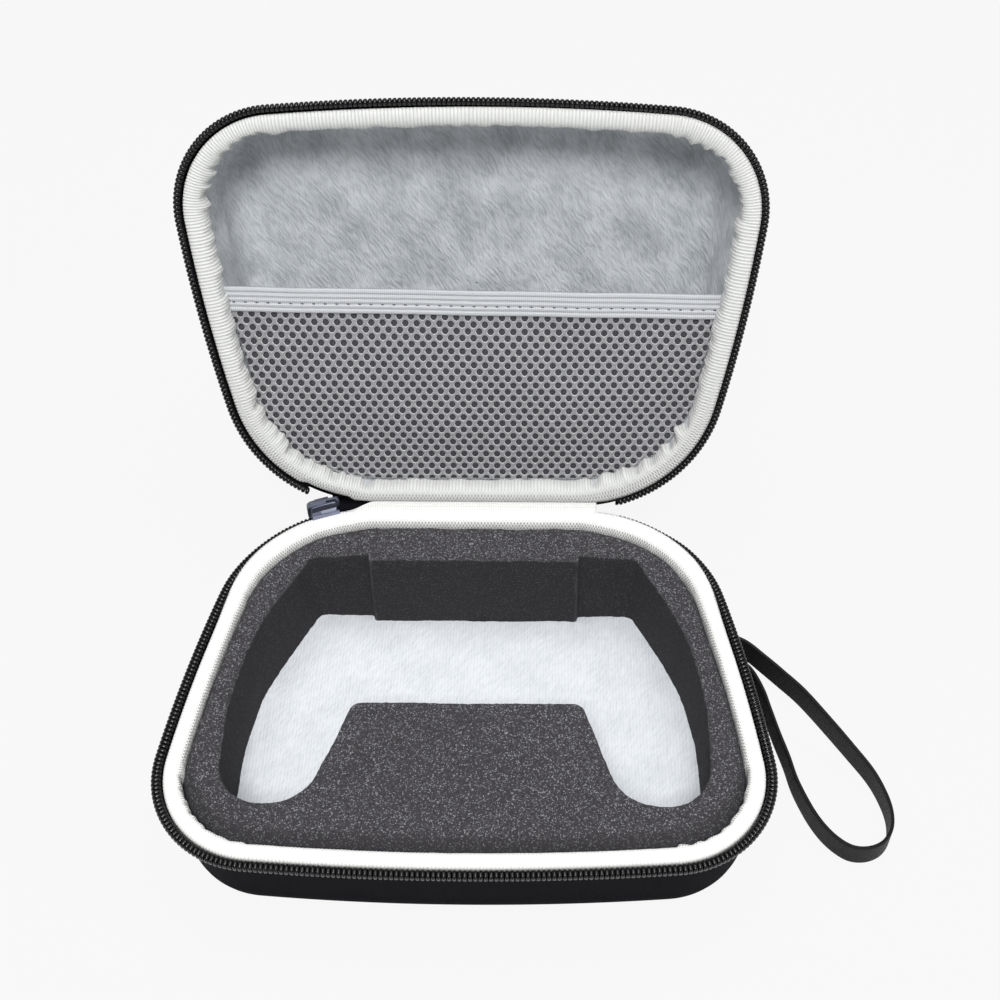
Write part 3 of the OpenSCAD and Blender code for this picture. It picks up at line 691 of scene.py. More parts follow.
def rounded_loop(corners, step):
    """Closed polygon whose corners (x, y, radius) are rounded, with points a step apart."""
    loop = []
    for k, (x, y, r) in enumerate(corners):
        here = Vector((x, y))
        back = (Vector(corners[k - 1][:2]) - here).normalized()
        ahead = (Vector(corners[(k + 1) % len(corners)][:2]) - here).normalized()
        half = math.acos(max(-1, min(1, back.dot(ahead)))) / 2
        centre = here + (back + ahead).normalized() * r / math.sin(half)
        start = here + back * r / math.tan(half) - centre
        end = here + ahead * r / math.tan(half) - centre
        turn = start.angle_signed(end)
        parts = max(3, round(abs(turn) * r / step))
        loop += [centre + Matrix.Rotation(-turn * i / parts, 2) @ start for i in range(parts + 1)]
    loop.append(loop[0])
    run = np.array([tuple(p) for p in loop])
    distance = run_length(run)
    even = np.linspace(0, distance[-1], round(distance[-1] / step) + 1)[:-1]
    return np.stack([np.interp(even, distance, run[:, 0]), np.interp(even, distance, run[:, 1])], axis=1)


def loop_normals(loop):
    """Normals to the right of a closed loop's direction."""
    run = np.roll(loop, -1, axis=0) - np.roll(loop, 1, axis=0)
    run /= np.linalg.norm(run, axis=1)[:, None]
    return np.stack([run[:, 1], -run[:, 0]], axis=1)


def inside(loop, x, y):
    """Whether a point lies inside a closed loop."""
    x1, y1 = loop[:, 0], loop[:, 1]
    x2, y2 = np.roll(x1, -1), np.roll(y1, -1)
    crosses = (y1 > y) != (y2 > y)
    reach = x1 + (x2 - x1) * (y - y1) / np.where(y2 == y1, 1, y2 - y1)
    return bool(np.count_nonzero(crosses & (x < reach)) % 2)


def bay_loop(size):
    """Outline of the controller-shaped cut-out."""
    half_w, half_d = size.width / 2, size.depth / 2
    side, rear, front = half_w - 20.5 * MM, half_d - 25.5 * MM, 27 * MM - half_d
    island_rear = front + 38 * MM
    half = [
        (38 * MM, rear, 1.2 * MM),
        (38 * MM, rear + 2.5 * MM, 1 * MM),
        (58 * MM, rear + 2.5 * MM, 5 * MM),
        (side - 5 * MM, rear - 30 * MM, 100 * MM),
        (side, island_rear, 80 * MM),
        (side - 0.5 * MM, front, 15 * MM),
        (51 * MM, front, 16 * MM),
        (38 * MM, island_rear, 4 * MM),
    ]
    return rounded_loop(half + [(-x, y, r) for x, y, r in reversed(half)], 0.9 * MM)


def make_foam(size, colours):
    """Foam insert: die-cut block with soft edges, pressed in under the binding."""
    top, low = FOAM_HIGH.z, FOAM_LOW.z
    bay = bay_loop(size)
    out = -loop_normals(bay)
    if not inside(bay, *(bay[0] - out[0] * MM)):
        out = -out
    rim = Rim(size, 1.2 * MM)
    # Gap to the binding, radius of the cut-out's top edge, and spacing of the points that fill the top
    clearance, bay_edge, gap = 0.3 * MM, 0.9 * MM, 2.4 * MM
    rim_inset = size.rim_inset + size.shell + size.lining + size.binding + clearance
    # The front edge is pressed down the most
    front = smooth_step(-rim.places[:, 1], 25 * MM, 58 * MM)
    rim_edge = size.foam_edge * (1 + 2.2 * front)
    # It is torn a little at the front corners
    torn = wander(rim.along, 1.6 * MM, 5.5, 0)
    rim_edge += 0.7 * MM * torn * front * (np.abs(rim.places[:, 0]) > 45 * MM)
    bm = bmesh.new()
    # How much painted shade each vertex takes: none on the flat top, all of it down the sides
    painted_shade = {}

    def ring(flat, z, share):
        height = np.broadcast_to(z, len(flat))[:, None]
        made = [bm.verts.new(p) for p in crowd(np.concatenate([flat, height], axis=1), "base")]
        painted_shade.update(zip(made, np.broadcast_to(share, len(flat))))
        return made

    def join(a, b):
        for k in range(len(a)):
            m = (k + 1) % len(a)
            bm.faces.new((a[k], a[m], b[m], b[k]))

    # The cut-out's rounded edge takes painted shade as it turns down, and its walls take all of it
    bay_rings = [ring(bay + out * bay_edge * (1 - math.sin(b)), top - bay_edge * (1 - math.cos(b)),
                      math.sin(b)) for b in np.linspace(0, math.pi / 2, 4)]
    bay_rings += [ring(bay, z, 1) for z in np.linspace(top - bay_edge, low, 9)[1:]]
    rim_rings = []
    for b in np.linspace(0, math.pi / 2, 6):
        inset = rim_inset + rim_edge * (1 - math.sin(b))
        # Round the front's rounded edge the painted shade comes on sooner, where the binding shades it
        share = min(1, b / 0.35) * front + b / (math.pi / 2) * (1 - front)
        rim_rings.append(ring(rim.places + rim.inward * inset[:, None], top - rim_edge * (1 - math.cos(b)), share))
    # The block's side goes down behind the binding and ends inside the lining
    rim_rings += [ring(rim.places + rim.inward * rim_inset, z, 1) for z in (30 * MM, 24 * MM)]
    for a, b in zip(bay_rings, bay_rings[1:]):
        join(a, b)
    for a, b in zip(rim_rings, rim_rings[1:]):
        join(b, a)
    # The top is filled with even triangles, so that its soft dents can be pressed in
    edge = bay_rings[0] + rim_rings[0]
    flat = [Vector(v.co[:2]) for v in edge]
    loops = [(k, (k + 1) % len(bay)) for k in range(len(bay))]
    loops += [(len(bay) + k, len(bay) + (k + 1) % len(rim.places)) for k in range(len(rim.places))]
    bay_top = np.array([tuple(v.co[:2]) for v in bay_rings[0]])
    rim_top = np.array([tuple(v.co[:2]) for v in rim_rings[0]])
    near_bay = bay + out * gap
    near_rim = rim.places + rim.inward * (rim_inset + rim_edge + gap / 2)[:, None]
    for row in range(int(size.depth / gap)):
        for column in range(int(size.width / gap)):
            x = (column + 0.5 * (row % 2)) * gap - size.width / 2
            y = row * gap - size.depth / 2
            if inside(near_rim, x, y) and not inside(near_bay, x, y):
                flat.append(Vector((x, y)))
    points, _, faces, *_ = delaunay_2d_cdt(flat, loops, [], 1, 1e-9)
    verts = list(edge)
    for p in points[len(edge):]:
        verts.append(bm.verts.new((p.x, p.y, top)))
    for face in faces:
        centre = sum((points[k] for k in face), Vector((0, 0))) / len(face)
        if inside(rim_top, *centre) and not inside(bay_top, *centre):
            bm.faces.new([verts[k] for k in face])
    bmesh.ops.recalc_face_normals(bm, faces=bm.faces)
    # This chart carries the painted shade to the foam's material
    layer = bm.loops.layers.uv.new("PaintedShade")
    for face in bm.faces:
        for loop in face.loops:
            loop[layer].uv = (painted_shade.get(loop.vert, 0), 0)
    obj = place_bmesh("foam_block", bm)
    ruffle(obj, 14 * MM, 0.35 * MM, 5)
    ruffle(obj, 1.6 * MM, 0.22 * MM, 2)
    finish_piece(obj, cut_foam(colours), "base", "foam", "foam_insert")


def binding_section(size, flat):
    """Smooth section of the binding, from its outer edge over the crest to its inner edge, either round or
    pulled flat with a sharper inner edge."""
    outer = size.rim_inset - size.binding
    inner = size.rim_inset + size.shell + size.lining + size.binding
    middle = (outer + inner) / 2
    crest = size.crest
    return smooth_curve(
        [
            (outer, size.draft_top),
            (outer, crest - 3.6 * MM),
            (outer + 0.25 * MM, crest - 1.5 * MM),
            (middle - 1.5 * MM, crest - 0.25 * MM),
            (middle, crest),
            (middle + 1.3 * MM, crest - (0.12 if flat else 0.3) * MM),
            (inner - 0.4 * MM, crest - (0.75 if flat else 1.4) * MM),
            (inner, crest - (2.2 if flat else 3.4) * MM),
            (inner - 0.05 * MM, size.draft_top + 1.5 * MM),
            (inner - 0.1 * MM, size.draft_top - 0.2 * MM),
            (inner - 0.7 * MM, size.draft_top - 0.2 * MM),
        ],
        2,
    )


def hinge_reach(places, body):
    """How far the binding's outer and inner edges lie further out than the rim's even inset."""
    x, y = places[:, 0], places[:, 1]
    at_hinge = (1 - smooth_step(np.abs(x), 36 * MM, 50 * MM)) * (y > 0)
    if body == "lid":
        # It is stretched out the most on the right, and stays clear of the slider in the closed case
        beside = smooth_step(np.abs(x - SLIDER_X), 7.5 * MM, 11 * MM) + (y < 0)
        sideways = 1.4 * MM + 0.8 * MM * smooth_step(x, -80 * MM, 80 * MM)
        outer = (sideways * (1 - at_hinge) + 1.1 * MM * at_hinge) * np.minimum(beside, 1)
        return outer, 0.9 * MM * at_hinge
    behind = smooth_step(y, 15 * MM, 58 * MM)
    return 0.7 * MM + 2.2 * MM * behind - 0.45 * MM * at_hinge, 1.0 * MM * at_hinge


def crowd(points, body):
    """Moves what lies just inside the binding along with its inner edge, towards the hinge."""
    flat = points.reshape(-1, 3)
    flat[:, 1] += hinge_reach(flat, body)[1] * smooth_step(flat[:, 2], 26 * MM, 36 * MM)
    return points


def make_binding(size, colours, body):
    """White binding round one rim, ribbed, puckered where it turns the corners."""
    girth = Rim(size, size.rib_pitch).length
    ribs, samples = round(girth / size.rib_pitch), 5
    rim = Rim(size, girth / (ribs * samples))
    section = binding_section(size, False)
    points = rim.sweep(section)
    if body == "base":
        flat = (1 - smooth_step(rim.places[:, 1], 0, 50 * MM))[:, None, None]
        points += flat * (rim.sweep(binding_section(size, True)) - points)
    run = np.roll(section, -1, axis=0) - np.roll(section, 1, axis=0)
    run[0], run[-1] = section[1] - section[0], section[-1] - section[-2]
    run /= np.linalg.norm(run, axis=1)[:, None]
    outward = np.stack([-run[:, 1], run[:, 0]], axis=1)
    outward = -outward if outward[0, 0] > 0 else outward
    share = np.linspace(0, 1, len(section))
    # Ribs stand up by 0.14 mm in the lid, and by less in the base
    rib = (0.07 if body == "lid" else 0.04) * MM * np.cos(2 * math.pi * rim.along / (rim.length / ribs))
    # The inner edge puckers in the corners and waves a little elsewhere
    bend = np.linalg.norm(np.roll(rim.inward, -6, axis=0) - np.roll(rim.inward, 6, axis=0), axis=1)
    bend /= bend.max()
    seed = 3.3 if body == "lid" else 11.9
    pucker = wander(rim.along, 5.6 * MM, seed, 0) + 0.5 * wander(rim.along, 2.6 * MM, 9, seed)
    drift = wander(rim.along, 22 * MM, seed, 7)
    # The lid's is the looser, and the base's frays at its front corners
    slack = MM * (1.5 if body == "lid" else 0.25 + 0.6 * bend * (rim.places[:, 1] < 0))
    wave = slack * (pucker * (0.8 + 1.2 * bend) + drift * 0.4 + 0.5)
    inner_leg = smooth_step(share, 0.5, 0.8)
    shift = rib[:, None] + wave[:, None] * inner_leg[None, :]
    hem = (slack * 1.2 * pucker)[:, None] * smooth_step(share, 0.75, 0.95)[None, :]
    # At the hinge the two bindings are sewn edge to edge. Elsewhere the edge is stretched out over the zip,
    # above its tape, and the most behind in the base
    outer_part = (1 - smooth_step(share, 0.12, 0.6)) * smooth_step(section[:, 1], 39 * MM, 41 * MM)
    outer, inner = hinge_reach(rim.places, body)
    reach = outer[:, None] * outer_part[None, :] + inner[:, None] * (1 - outer_part)[None, :]
    lift = outward[None, :, :] * shift[:, :, None]
    points[:, :, :2] += rim.inward[:, None, :] * (lift[:, :, :1] - reach[:, :, None])
    points[:, :, 2] += lift[:, :, 1] + hem
    obj = lattice(f"{body}_rim_binding", points, rim.chart(section), around=True, flip=True)
    finish_piece(obj, ribbed_binding(colours, body, rim.half_length / MM), body, "binding", f"{body}_binding")


def broken_rim(size, step, left, right):
    """Rim points from the right end of the zip round the front to its left end."""
    rim = Rim(size, step)
    x, y = rim.places[:, 0], rim.places[:, 1]
    keep = (y < 0) | (x > right) | (x < left)
    start = int(np.argmax(~np.roll(keep, 1) & keep)) if not keep.all() else 0
    order = np.roll(np.arange(len(keep)), -start)
    order = order[keep[order]]
    rim.places, rim.inward = rim.places[order], rim.inward[order]
    rim.along = np.arange(len(order)) * rim.length / len(keep)
    rim.length = rim.along[-1] + rim.length / len(keep)
    return rim


def zip_ends(body):
    """Where one half of the zip starts and ends, either side of the hinge."""
    points = [v.co for v in frame["nodes"][f"{body}_zip_coil"].data.vertices]
    rear = [p.x for p in points if (p.y > 60 * MM if body == "base" else p.z < HINGE_Z + 12 * MM)]
    return max(x for x in rear if x < 0), min(x for x in rear if x > 0)


def zip_drop(places, body):
    """How far the base's zip is pulled down behind the rim towards the hinge, the most on its right."""
    if body == "lid":
        return np.zeros(len(places))
    x, y = places[:, 0], places[:, 1]
    return 1.3 * MM * smooth_step(y, 30 * MM, 60 * MM) + 1.0 * MM * smooth_step(y, 55 * MM, 66 * MM) * (x > 0)


def make_tape(size, colours, body):
    """Woven tape of one half of the zip."""
    left, right = zip_ends(body)
    # The tapes run on to the hinge cloths, the lid's over the slider too
    in_lid_part = body == "lid"
    rim = broken_rim(size, 1.5 * MM, TAPE_SPAN[0] if in_lid_part else left, min(right, TAPE_SPAN[1]))
    sewn = size.rim_inset - size.binding - 0.05 * MM
    # Its edge lies inside the coil's turns. Over the slider it is lower and lies further in, clear of the slider
    # when the lid lies flat
    top, slider_top, slider_inset = HINGE_Z - 1.1 * MM, HINGE_Z - 1.8 * MM, 3.1 * MM
    section = smooth_curve(
        [(sewn - 0.5 * MM, 34 * MM), (sewn - 0.5 * MM, 36.6 * MM), (2.1 * MM, 38.4 * MM), (2.0 * MM, top - 0.2 * MM),
         (2.25 * MM, top), (2.5 * MM, top - 0.2 * MM), (2.6 * MM, 38.6 * MM), (sewn, 36.9 * MM), (sewn, 34 * MM)],
        3,
    )
    points = rim.sweep(section)
    points[:, :, 2] -= zip_drop(rim.places, body)[:, None]
    if in_lid_part:
        over_slider = (rim.places[:, 1] > 0) & (rim.places[:, 0] > left - 1 * MM) & (rim.places[:, 0] < 0)
        points[over_slider, :, 2] = np.minimum(points[over_slider, :, 2], slider_top)
        tuck = np.maximum(0, slider_inset - section[:, 0])
        points[over_slider, :, :2] += rim.inward[over_slider][:, None, :] * tuck[None, :, None]
    along = np.append(rim.along, rim.length)
    across = np.append(run_length(section), 0.02)
    obj = lattice(f"{body}_zip_tape_woven", points, grid_chart(along, across), tube=True, flip=True, caps=True)
    material = woven_tape("Woven zip tape", colours.tape, 0.7, 0.72, 0.1 * MM)
    finish_piece(obj, material, body, "zip_tape", f"{body}_zip_tape")


def boxed(wave):
    """Wave with fuller crests, for a loop that is nearly square."""
    return np.sign(wave) * np.abs(wave) ** 0.75


def make_coil(size, colours, body):
    """Nylon coil of one half of the zip: one wire wound round, its heads towards the other half."""
    left, right = zip_ends(body)
    rim = broken_rim(size, 0.5 * MM, left, right)
    turns = int(rim.along[-1] / size.coil_pitch)
    per_turn, wire_sides = 16, 8
    wire = size.coil_wire
    count = turns * per_turn + 1
    turn = np.arange(count) / per_turn
    phase = 2 * math.pi * turn
    # Each turn steps on along the zip at its hidden underside, so that the rest of it stands upright
    along = (np.floor(turn) + smooth_step(turn % 1, 0.42, 0.95)) * size.coil_pitch
    # Flattened loops, 3 mm high, that reach from the zip's edge to the binding
    reach = 1.3 * MM if body == "lid" else 1.7 * MM
    inset = reach - (reach - wire) * boxed(np.cos(phase))
    drop = np.interp(along, rim.along, zip_drop(rim.places, body))
    height = COIL_Z - drop + (COIL_HALF - wire) * boxed(np.sin(phase))
    columns = np.concatenate([rim.places, rim.inward], axis=1).T
    x, y, nx, ny = (np.interp(along, rim.along, column) for column in columns)
    path = np.stack([x + nx * inset, y + ny * inset, height], axis=1)
    run = directions(path)
    rail = np.stack([-ny, nx, np.zeros(count)], axis=1)
    side = np.cross(run, rail)
    side /= np.linalg.norm(side, axis=1)[:, None]
    other = np.cross(side, run)
    # The head of each tooth is pressed wider than the wire
    head = wire * (1 + 0.12 * smooth_step(np.sin(phase), 0.5, 1.0))
    spokes = 2 * math.pi * np.arange(wire_sides) / wire_sides
    points = (
        path[:, None, :]
        + side[:, None, :] * (head[:, None] * np.cos(spokes)[None, :])[:, :, None]
        + other[:, None, :] * (size.coil_spread * head[:, None] * np.sin(spokes)[None, :])[:, :, None]
    )
    obj = lattice(f"{body}_zip_teeth", points, tube=True, flip=True, caps=True)
    finish_piece(obj, nylon_wire(colours), body, "zip_coil", f"{body}_zip_coil")


def in_lid(inset, height, size):
    """Side view place in the open lid of a point given by its inset and height above the closed parting plane."""
    a = math.radians(OPEN_ANGLE)
    y = size.depth / 2 - inset - HINGE_Y
    return (HINGE_Y + y * math.cos(a) + height * math.sin(a), HINGE_Z - y * math.sin(a) + height * math.cos(a))


def cloth_strip(name, side_view, span, step, taper=0):
    """Strip of cloth along X over a side view of (y, z) points. Over the taper its left end narrows to a point on
    the side view's first."""
    left, right = span
    path = smooth_curve(side_view, 5)
    run = directions(path)
    normal = np.stack([-run[:, 1], run[:, 0]], axis=1)
    half = normal * CLOTH_THICKNESS / 2
    loop = np.concatenate([path + half, (path - half)[::-1]])
    stations = np.linspace(left, right, round((right - left) / step) + 1)
    points = np.empty((len(stations), len(loop), 3))
    points[:, :, 0] = stations[:, None]
    points[:, :, 1:] = loop[None]
    if taper:
        narrow = 0.02 + 0.98 * smooth_step(stations, left, left + taper)
        points[:, :, 1:] = loop[0] + (loop - loop[0]) * narrow[:, None, None]
    across = np.append(run_length(loop), 0.03)
    return lattice(name, points, grid_chart(np.append(stations, stations[-1]), across), tube=True, caps=True)


def make_hinge(size, colours):
    """The hinge's two cloths, bent round from the base to the open lid."""
    rear = size.depth / 2
    cover_in = 1.9 * MM
    cover = cloth_strip(
        "hinge_outer_cloth",
        [(rear - 3.2 * MM, 32.5 * MM), (rear - 2.4 * MM, 36 * MM), (rear - cover_in, 39.4 * MM),
         (HINGE_Y + 1.0 * MM, HINGE_Z - 1.2 * MM),
         in_lid(cover_in, 2.6 * MM, size), in_lid(2.4 * MM, 6 * MM, size), in_lid(3.2 * MM, 9.5 * MM, size)],
        COVER_SPAN, 1.5 * MM,
    )
    cover.data.materials.append(moulded_polyester(colours))
    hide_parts("hinge_cover")
    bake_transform(cover)
    lining = cloth_strip(
        "hinge_inner_cloth",
        [(rear - 3.0 * MM, 40.8 * MM), (rear - 1.6 * MM, 41.7 * MM), (HINGE_Y + 0.75 * MM, HINGE_Z + 0.3 * MM),
         in_lid(2.4 * MM, 0.9 * MM, size), in_lid(3.2 * MM, 1.7 * MM, size)],
        CLOTH_SPAN, 0.5 * MM, taper=11 * MM,
    )
    lining.data.materials.append(woven_tape("Pale hinge cloth", colours.hinge, 0.85, 0.75, 0.12 * MM))
    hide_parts("hinge_lining")
    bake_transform(lining)


def make_strap(size, colours):
    """Wrist strap: one length of flat webbing standing on edge, both ends sewn in under the zip."""
    path = smooth_curve([np.array(p) * MM for p in STRAP_ROUTE], 8)
    run = directions(path)
    across = np.cross(np.array([0, 0, 1.0]), run)
    across /= np.linalg.norm(across, axis=1)[:, None]
    up = np.cross(run, across)
    half_t, half_w = size.strap_thickness / 2, size.strap_width / 2
    section = []
    for end in (1, -1):
        for a in np.linspace(0, math.pi, 7):
            section.append((end * half_t * math.cos(a), end * (half_w - half_t + half_t * math.sin(a))))
        section += [(-end * half_t, end * (half_w - half_t) * k) for k in (0.6, 0.2, -0.2, -0.6)]
    section = np.array(section)
    points = path[:, None] + across[:, None] * section[None, :, :1] + up[:, None] * section[None, :, 1:]
    along = run_length(path)
    girth = run_length(np.append(section, section[:1], axis=0))
    obj = lattice("wrist_strap_webbing", points, grid_chart(np.append(along, along[-1]), girth), tube=True, caps=True)
    material = woven_tape("Flat polyester webbing", colours.webbing, 0.8, 0.6, 0.12 * MM)
    finish_piece(obj, material, "base", "webbing", "wrist_strap")


def pocket_half_width(size, y, inset):
    """Half of the pocket's width at a place behind the middle."""
    rear_y = size.depth / 2 - size.rear_corner
    radius = size.rear_corner - inset
    reach = max(0.0, radius**2 - max(0.0, y - rear_y) ** 2)
    corner = size.rear_straight / 2 + math.sqrt(reach)
    side = size.width / 2 - inset
    taper = size.rear_straight / 2 + radius
    front = side + (taper - side) * min(1, max(0, (y + 20 * MM) / (rear_y + 20 * MM)))
    return corner if y > rear_y else front


def pocket_bulge(x, y):
    """How far the pocket's cloth stands out of its plane: one broad swell, and some slack."""
    across = math.cos(min(1, abs(x) / (85 * MM)) * math.pi / 2)
    along = math.sin(min(1, max(0, (y - 2 * MM) / (62 * MM))) * math.pi)
    slack = noise.noise(Vector((x / (26 * MM), y / (20 * MM), 4.2)))
    return 1.6 * MM * across * along + 0.8 * MM * slack


def make_mesh_panel(size, colours):
    """Spacer mesh of the pocket: a front face with rows of openings over a fine back face."""
    pitch, row, hole = size.mesh_pitch, size.mesh_row, size.mesh_hole / 2
    start = BAND_FRONT + size.band_width - 1.5 * MM
    inset = POCKET_INSET
    end = size.depth / 2 - inset
    tip = (pitch**2 / 4 + row**2) / (2 * row)
    shoulder = row - tip
    corner = [(0, tip), (pitch / 2, shoulder), (pitch / 2, -shoulder), (0, -tip), (-pitch / 2, -shoulder),
              (-pitch / 2, shoulder)]
    border = []
    for (ax, ay), (bx, by) in zip(corner, corner[1:] + corner[:1]):
        border += [(ax, ay), ((ax + bx) / 2, (ay + by) / 2)]
    bm = bmesh.new()
    flat, opening = bm.loops.layers.uv.new("Flat"), bm.loops.layers.uv.new("Opening")
    shared = {}

    def vertex(x, y, z):
        y = min(max(y, start), end)
        reach = pocket_half_width(size, y, inset)
        x = min(max(x, -reach), reach)
        key = (round(x / (0.05 * MM)), round(y / (0.05 * MM)), round(z / (0.02 * MM)))
        if key not in shared:
            tilt = BAND_TILT * x * (1 - smooth_step(y, start, start + 40 * MM))
            shared[key] = bm.verts.new((x, y + float(tilt), POCKET_Z + z + pocket_bulge(x, y)))
        return shared[key]

    def face(corners, shares=(0, 0, 0, 0), back=False):
        seen = dict(zip(corners, shares))
        if len(seen) > 2 and not bm.faces.get(list(seen)):
            made = bm.faces.new(list(seen))
            made.material_index = int(back)
            for loop in made.loops:
                loop[flat].uv = (loop.vert.co.x / MM, loop.vert.co.y / MM)
                loop[opening].uv = (seen[loop.vert], 0)

    # Rings of yarn round an opening, from the border (1) to its edge (0), with their heights
    rings = [(1.0, 0.0), (0.62, 0.12 * MM), (0.25, 0.02 * MM), (0.0, -0.35 * MM)]
    rows = int((end - start) / row) + 2
    for r in range(rows):
        y = start + r * row
        reach = pocket_half_width(size, min(y, end), inset) + pitch
        count = int(reach / pitch) + 1
        for c in range(-count, count + 1):
            x = (c + 0.5 * (r % 2)) * pitch
            if abs(x) > reach:
                continue
            loops = []
            for share, height in rings:
                loop = []
                for bx, by in border:
                    angle = math.atan2(by, bx)
                    # The openings are drawn a little narrower than they are tall
                    hx, hy = hole * math.cos(angle) * 0.92, hole * math.sin(angle)
                    loop.append(vertex(x + hx + (bx - hx) * share, y + hy + (by - hy) * share, height))
                loops.append((share, loop))
            for (far, a), (near, b) in zip(loops, loops[1:]):
                for k in range(len(border)):
                    m = (k + 1) % len(border)
                    face((a[k], b[k], b[m], a[m]), (far, near, near, far))
    # The net behind the openings, as columns either side of the middle
    depth, step, columns = -1.1 * MM, 3 * MM, 30
    ys = np.linspace(start, end, int((end - start) / step) + 1)
    for y1, y2 in zip(ys, ys[1:]):
        for k in range(-columns, columns):
            corners = [(y1, k), (y1, k + 1), (y2, k + 1), (y2, k)]
            face([vertex(pocket_half_width(size, y, inset) * s / columns, y, depth) for y, s in corners], back=True)
    obj = place_bmesh("pocket_mesh_panel", bm)
    # The chart is in the lid's own plane, so the panel's normals face the opening before it is turned
    finish_piece(obj, knitted_mesh(colours), "lid", "mesh", "pocket_mesh")
    obj.data.materials.append(mesh_backing(colours))


def make_band(size, colours):
    """Ribbed elastic along the pocket's mouth, with the seam that holds it to the mesh."""
    ribs, per_rib = size.band_ribs, 8
    width = size.band_width
    half = pocket_half_width(size, BAND_FRONT, POCKET_INSET - 0.1 * MM)
    stations = np.linspace(-half, half, 161)
    share = np.linspace(0, 1, ribs * per_rib + 1)
    relief = 0.55 * MM * np.abs(np.sin(math.pi * ribs * share)) ** 0.6
    top = [(BAND_FRONT + width * s, h) for s, h in zip(share, relief)]
    under = [(BAND_FRONT + width, -0.9 * MM), (BAND_FRONT, -0.9 * MM)]
    section = np.array(top + under)
    points = np.empty((len(stations), len(section), 3))
    points[:, :, 0] = stations[:, None]
    points[:, :, 1] = section[None, :, 0] + BAND_TILT * stations[:, None]
    bulge = np.array([pocket_bulge(x, 4 * MM) for x in stations])
    points[:, :, 2] = POCKET_Z + BAND_LIFT + section[None, :, 1] + bulge[:, None]
    across = np.append(run_length(section), 0.02)
    chart = grid_chart(np.append(stations, stations[-1]), across)
    obj = lattice("pocket_elastic_band", points, chart, tube=True, flip=True, caps=True)
    material = woven_tape("Ribbed elastic", colours.elastic, 0.7, 0.7, 0.06 * MM)
    finish_piece(obj, material, "lid", "elastic", "pocket_band")
    # Needle holes, three fifths down the band
    bm = bmesh.new()
    seam = BAND_FRONT + width * 0.62
    spacing = 4 * MM
    for x in np.arange(-half + spacing, half - 3 * MM, spacing):
        made = bmesh.ops.create_uvsphere(bm, u_segments=8, v_segments=6, radius=0.5)["verts"]
        z = POCKET_Z + BAND_LIFT + 0.2 * MM + pocket_bulge(x, 4 * MM)
        spot = Matrix.Translation((x, seam + BAND_TILT * x, z)) @ Matrix.Rotation(0.15, 4, "Z")
        bmesh.ops.transform(bm, matrix=spot @ Matrix.Diagonal((1.3 * MM, 0.55 * MM, 0.5 * MM, 1)), verts=made)
    material, *_ = new_material("Seam thread", {"Base Color": colours.stitch, "Roughness": 0.8})
    finish_piece(place_bmesh("pocket_seam", bm), material, "lid", "elastic")


def make_slider_core(size, metal):
    """Cast core between the slider's plates, which parts the two coils."""
    rim = Rim(size, 0.6 * MM)
    near = (rim.places[:, 1] > 0) & (np.abs(rim.places[:, 0] - SLIDER_X) < 5.0 * MM)
    rim.places, rim.inward = rim.places[near], rim.inward[near]
    # Its inner side leans out above the binding, so that the closing lid clears it
    corners = [(-0.2, 39.2), (3.3, 39.2), (3.3, 42.9), (1.9, 43.3), (1.0, 45.3), (-0.2, 45.3)]
    section = rounded_loop([(inset * MM, z * MM, 0.3 * MM) for inset, z in corners], 0.2 * MM)
    obj = lattice("zip_slider_core", rim.sweep(section), tube=True, caps=True)
    finish_piece(obj, metal, "base", "zip_metal")


# Operators


def settings(context):
    """The case's sizes and colours."""
    return context.scene.case_sizes, context.scene.case_colours


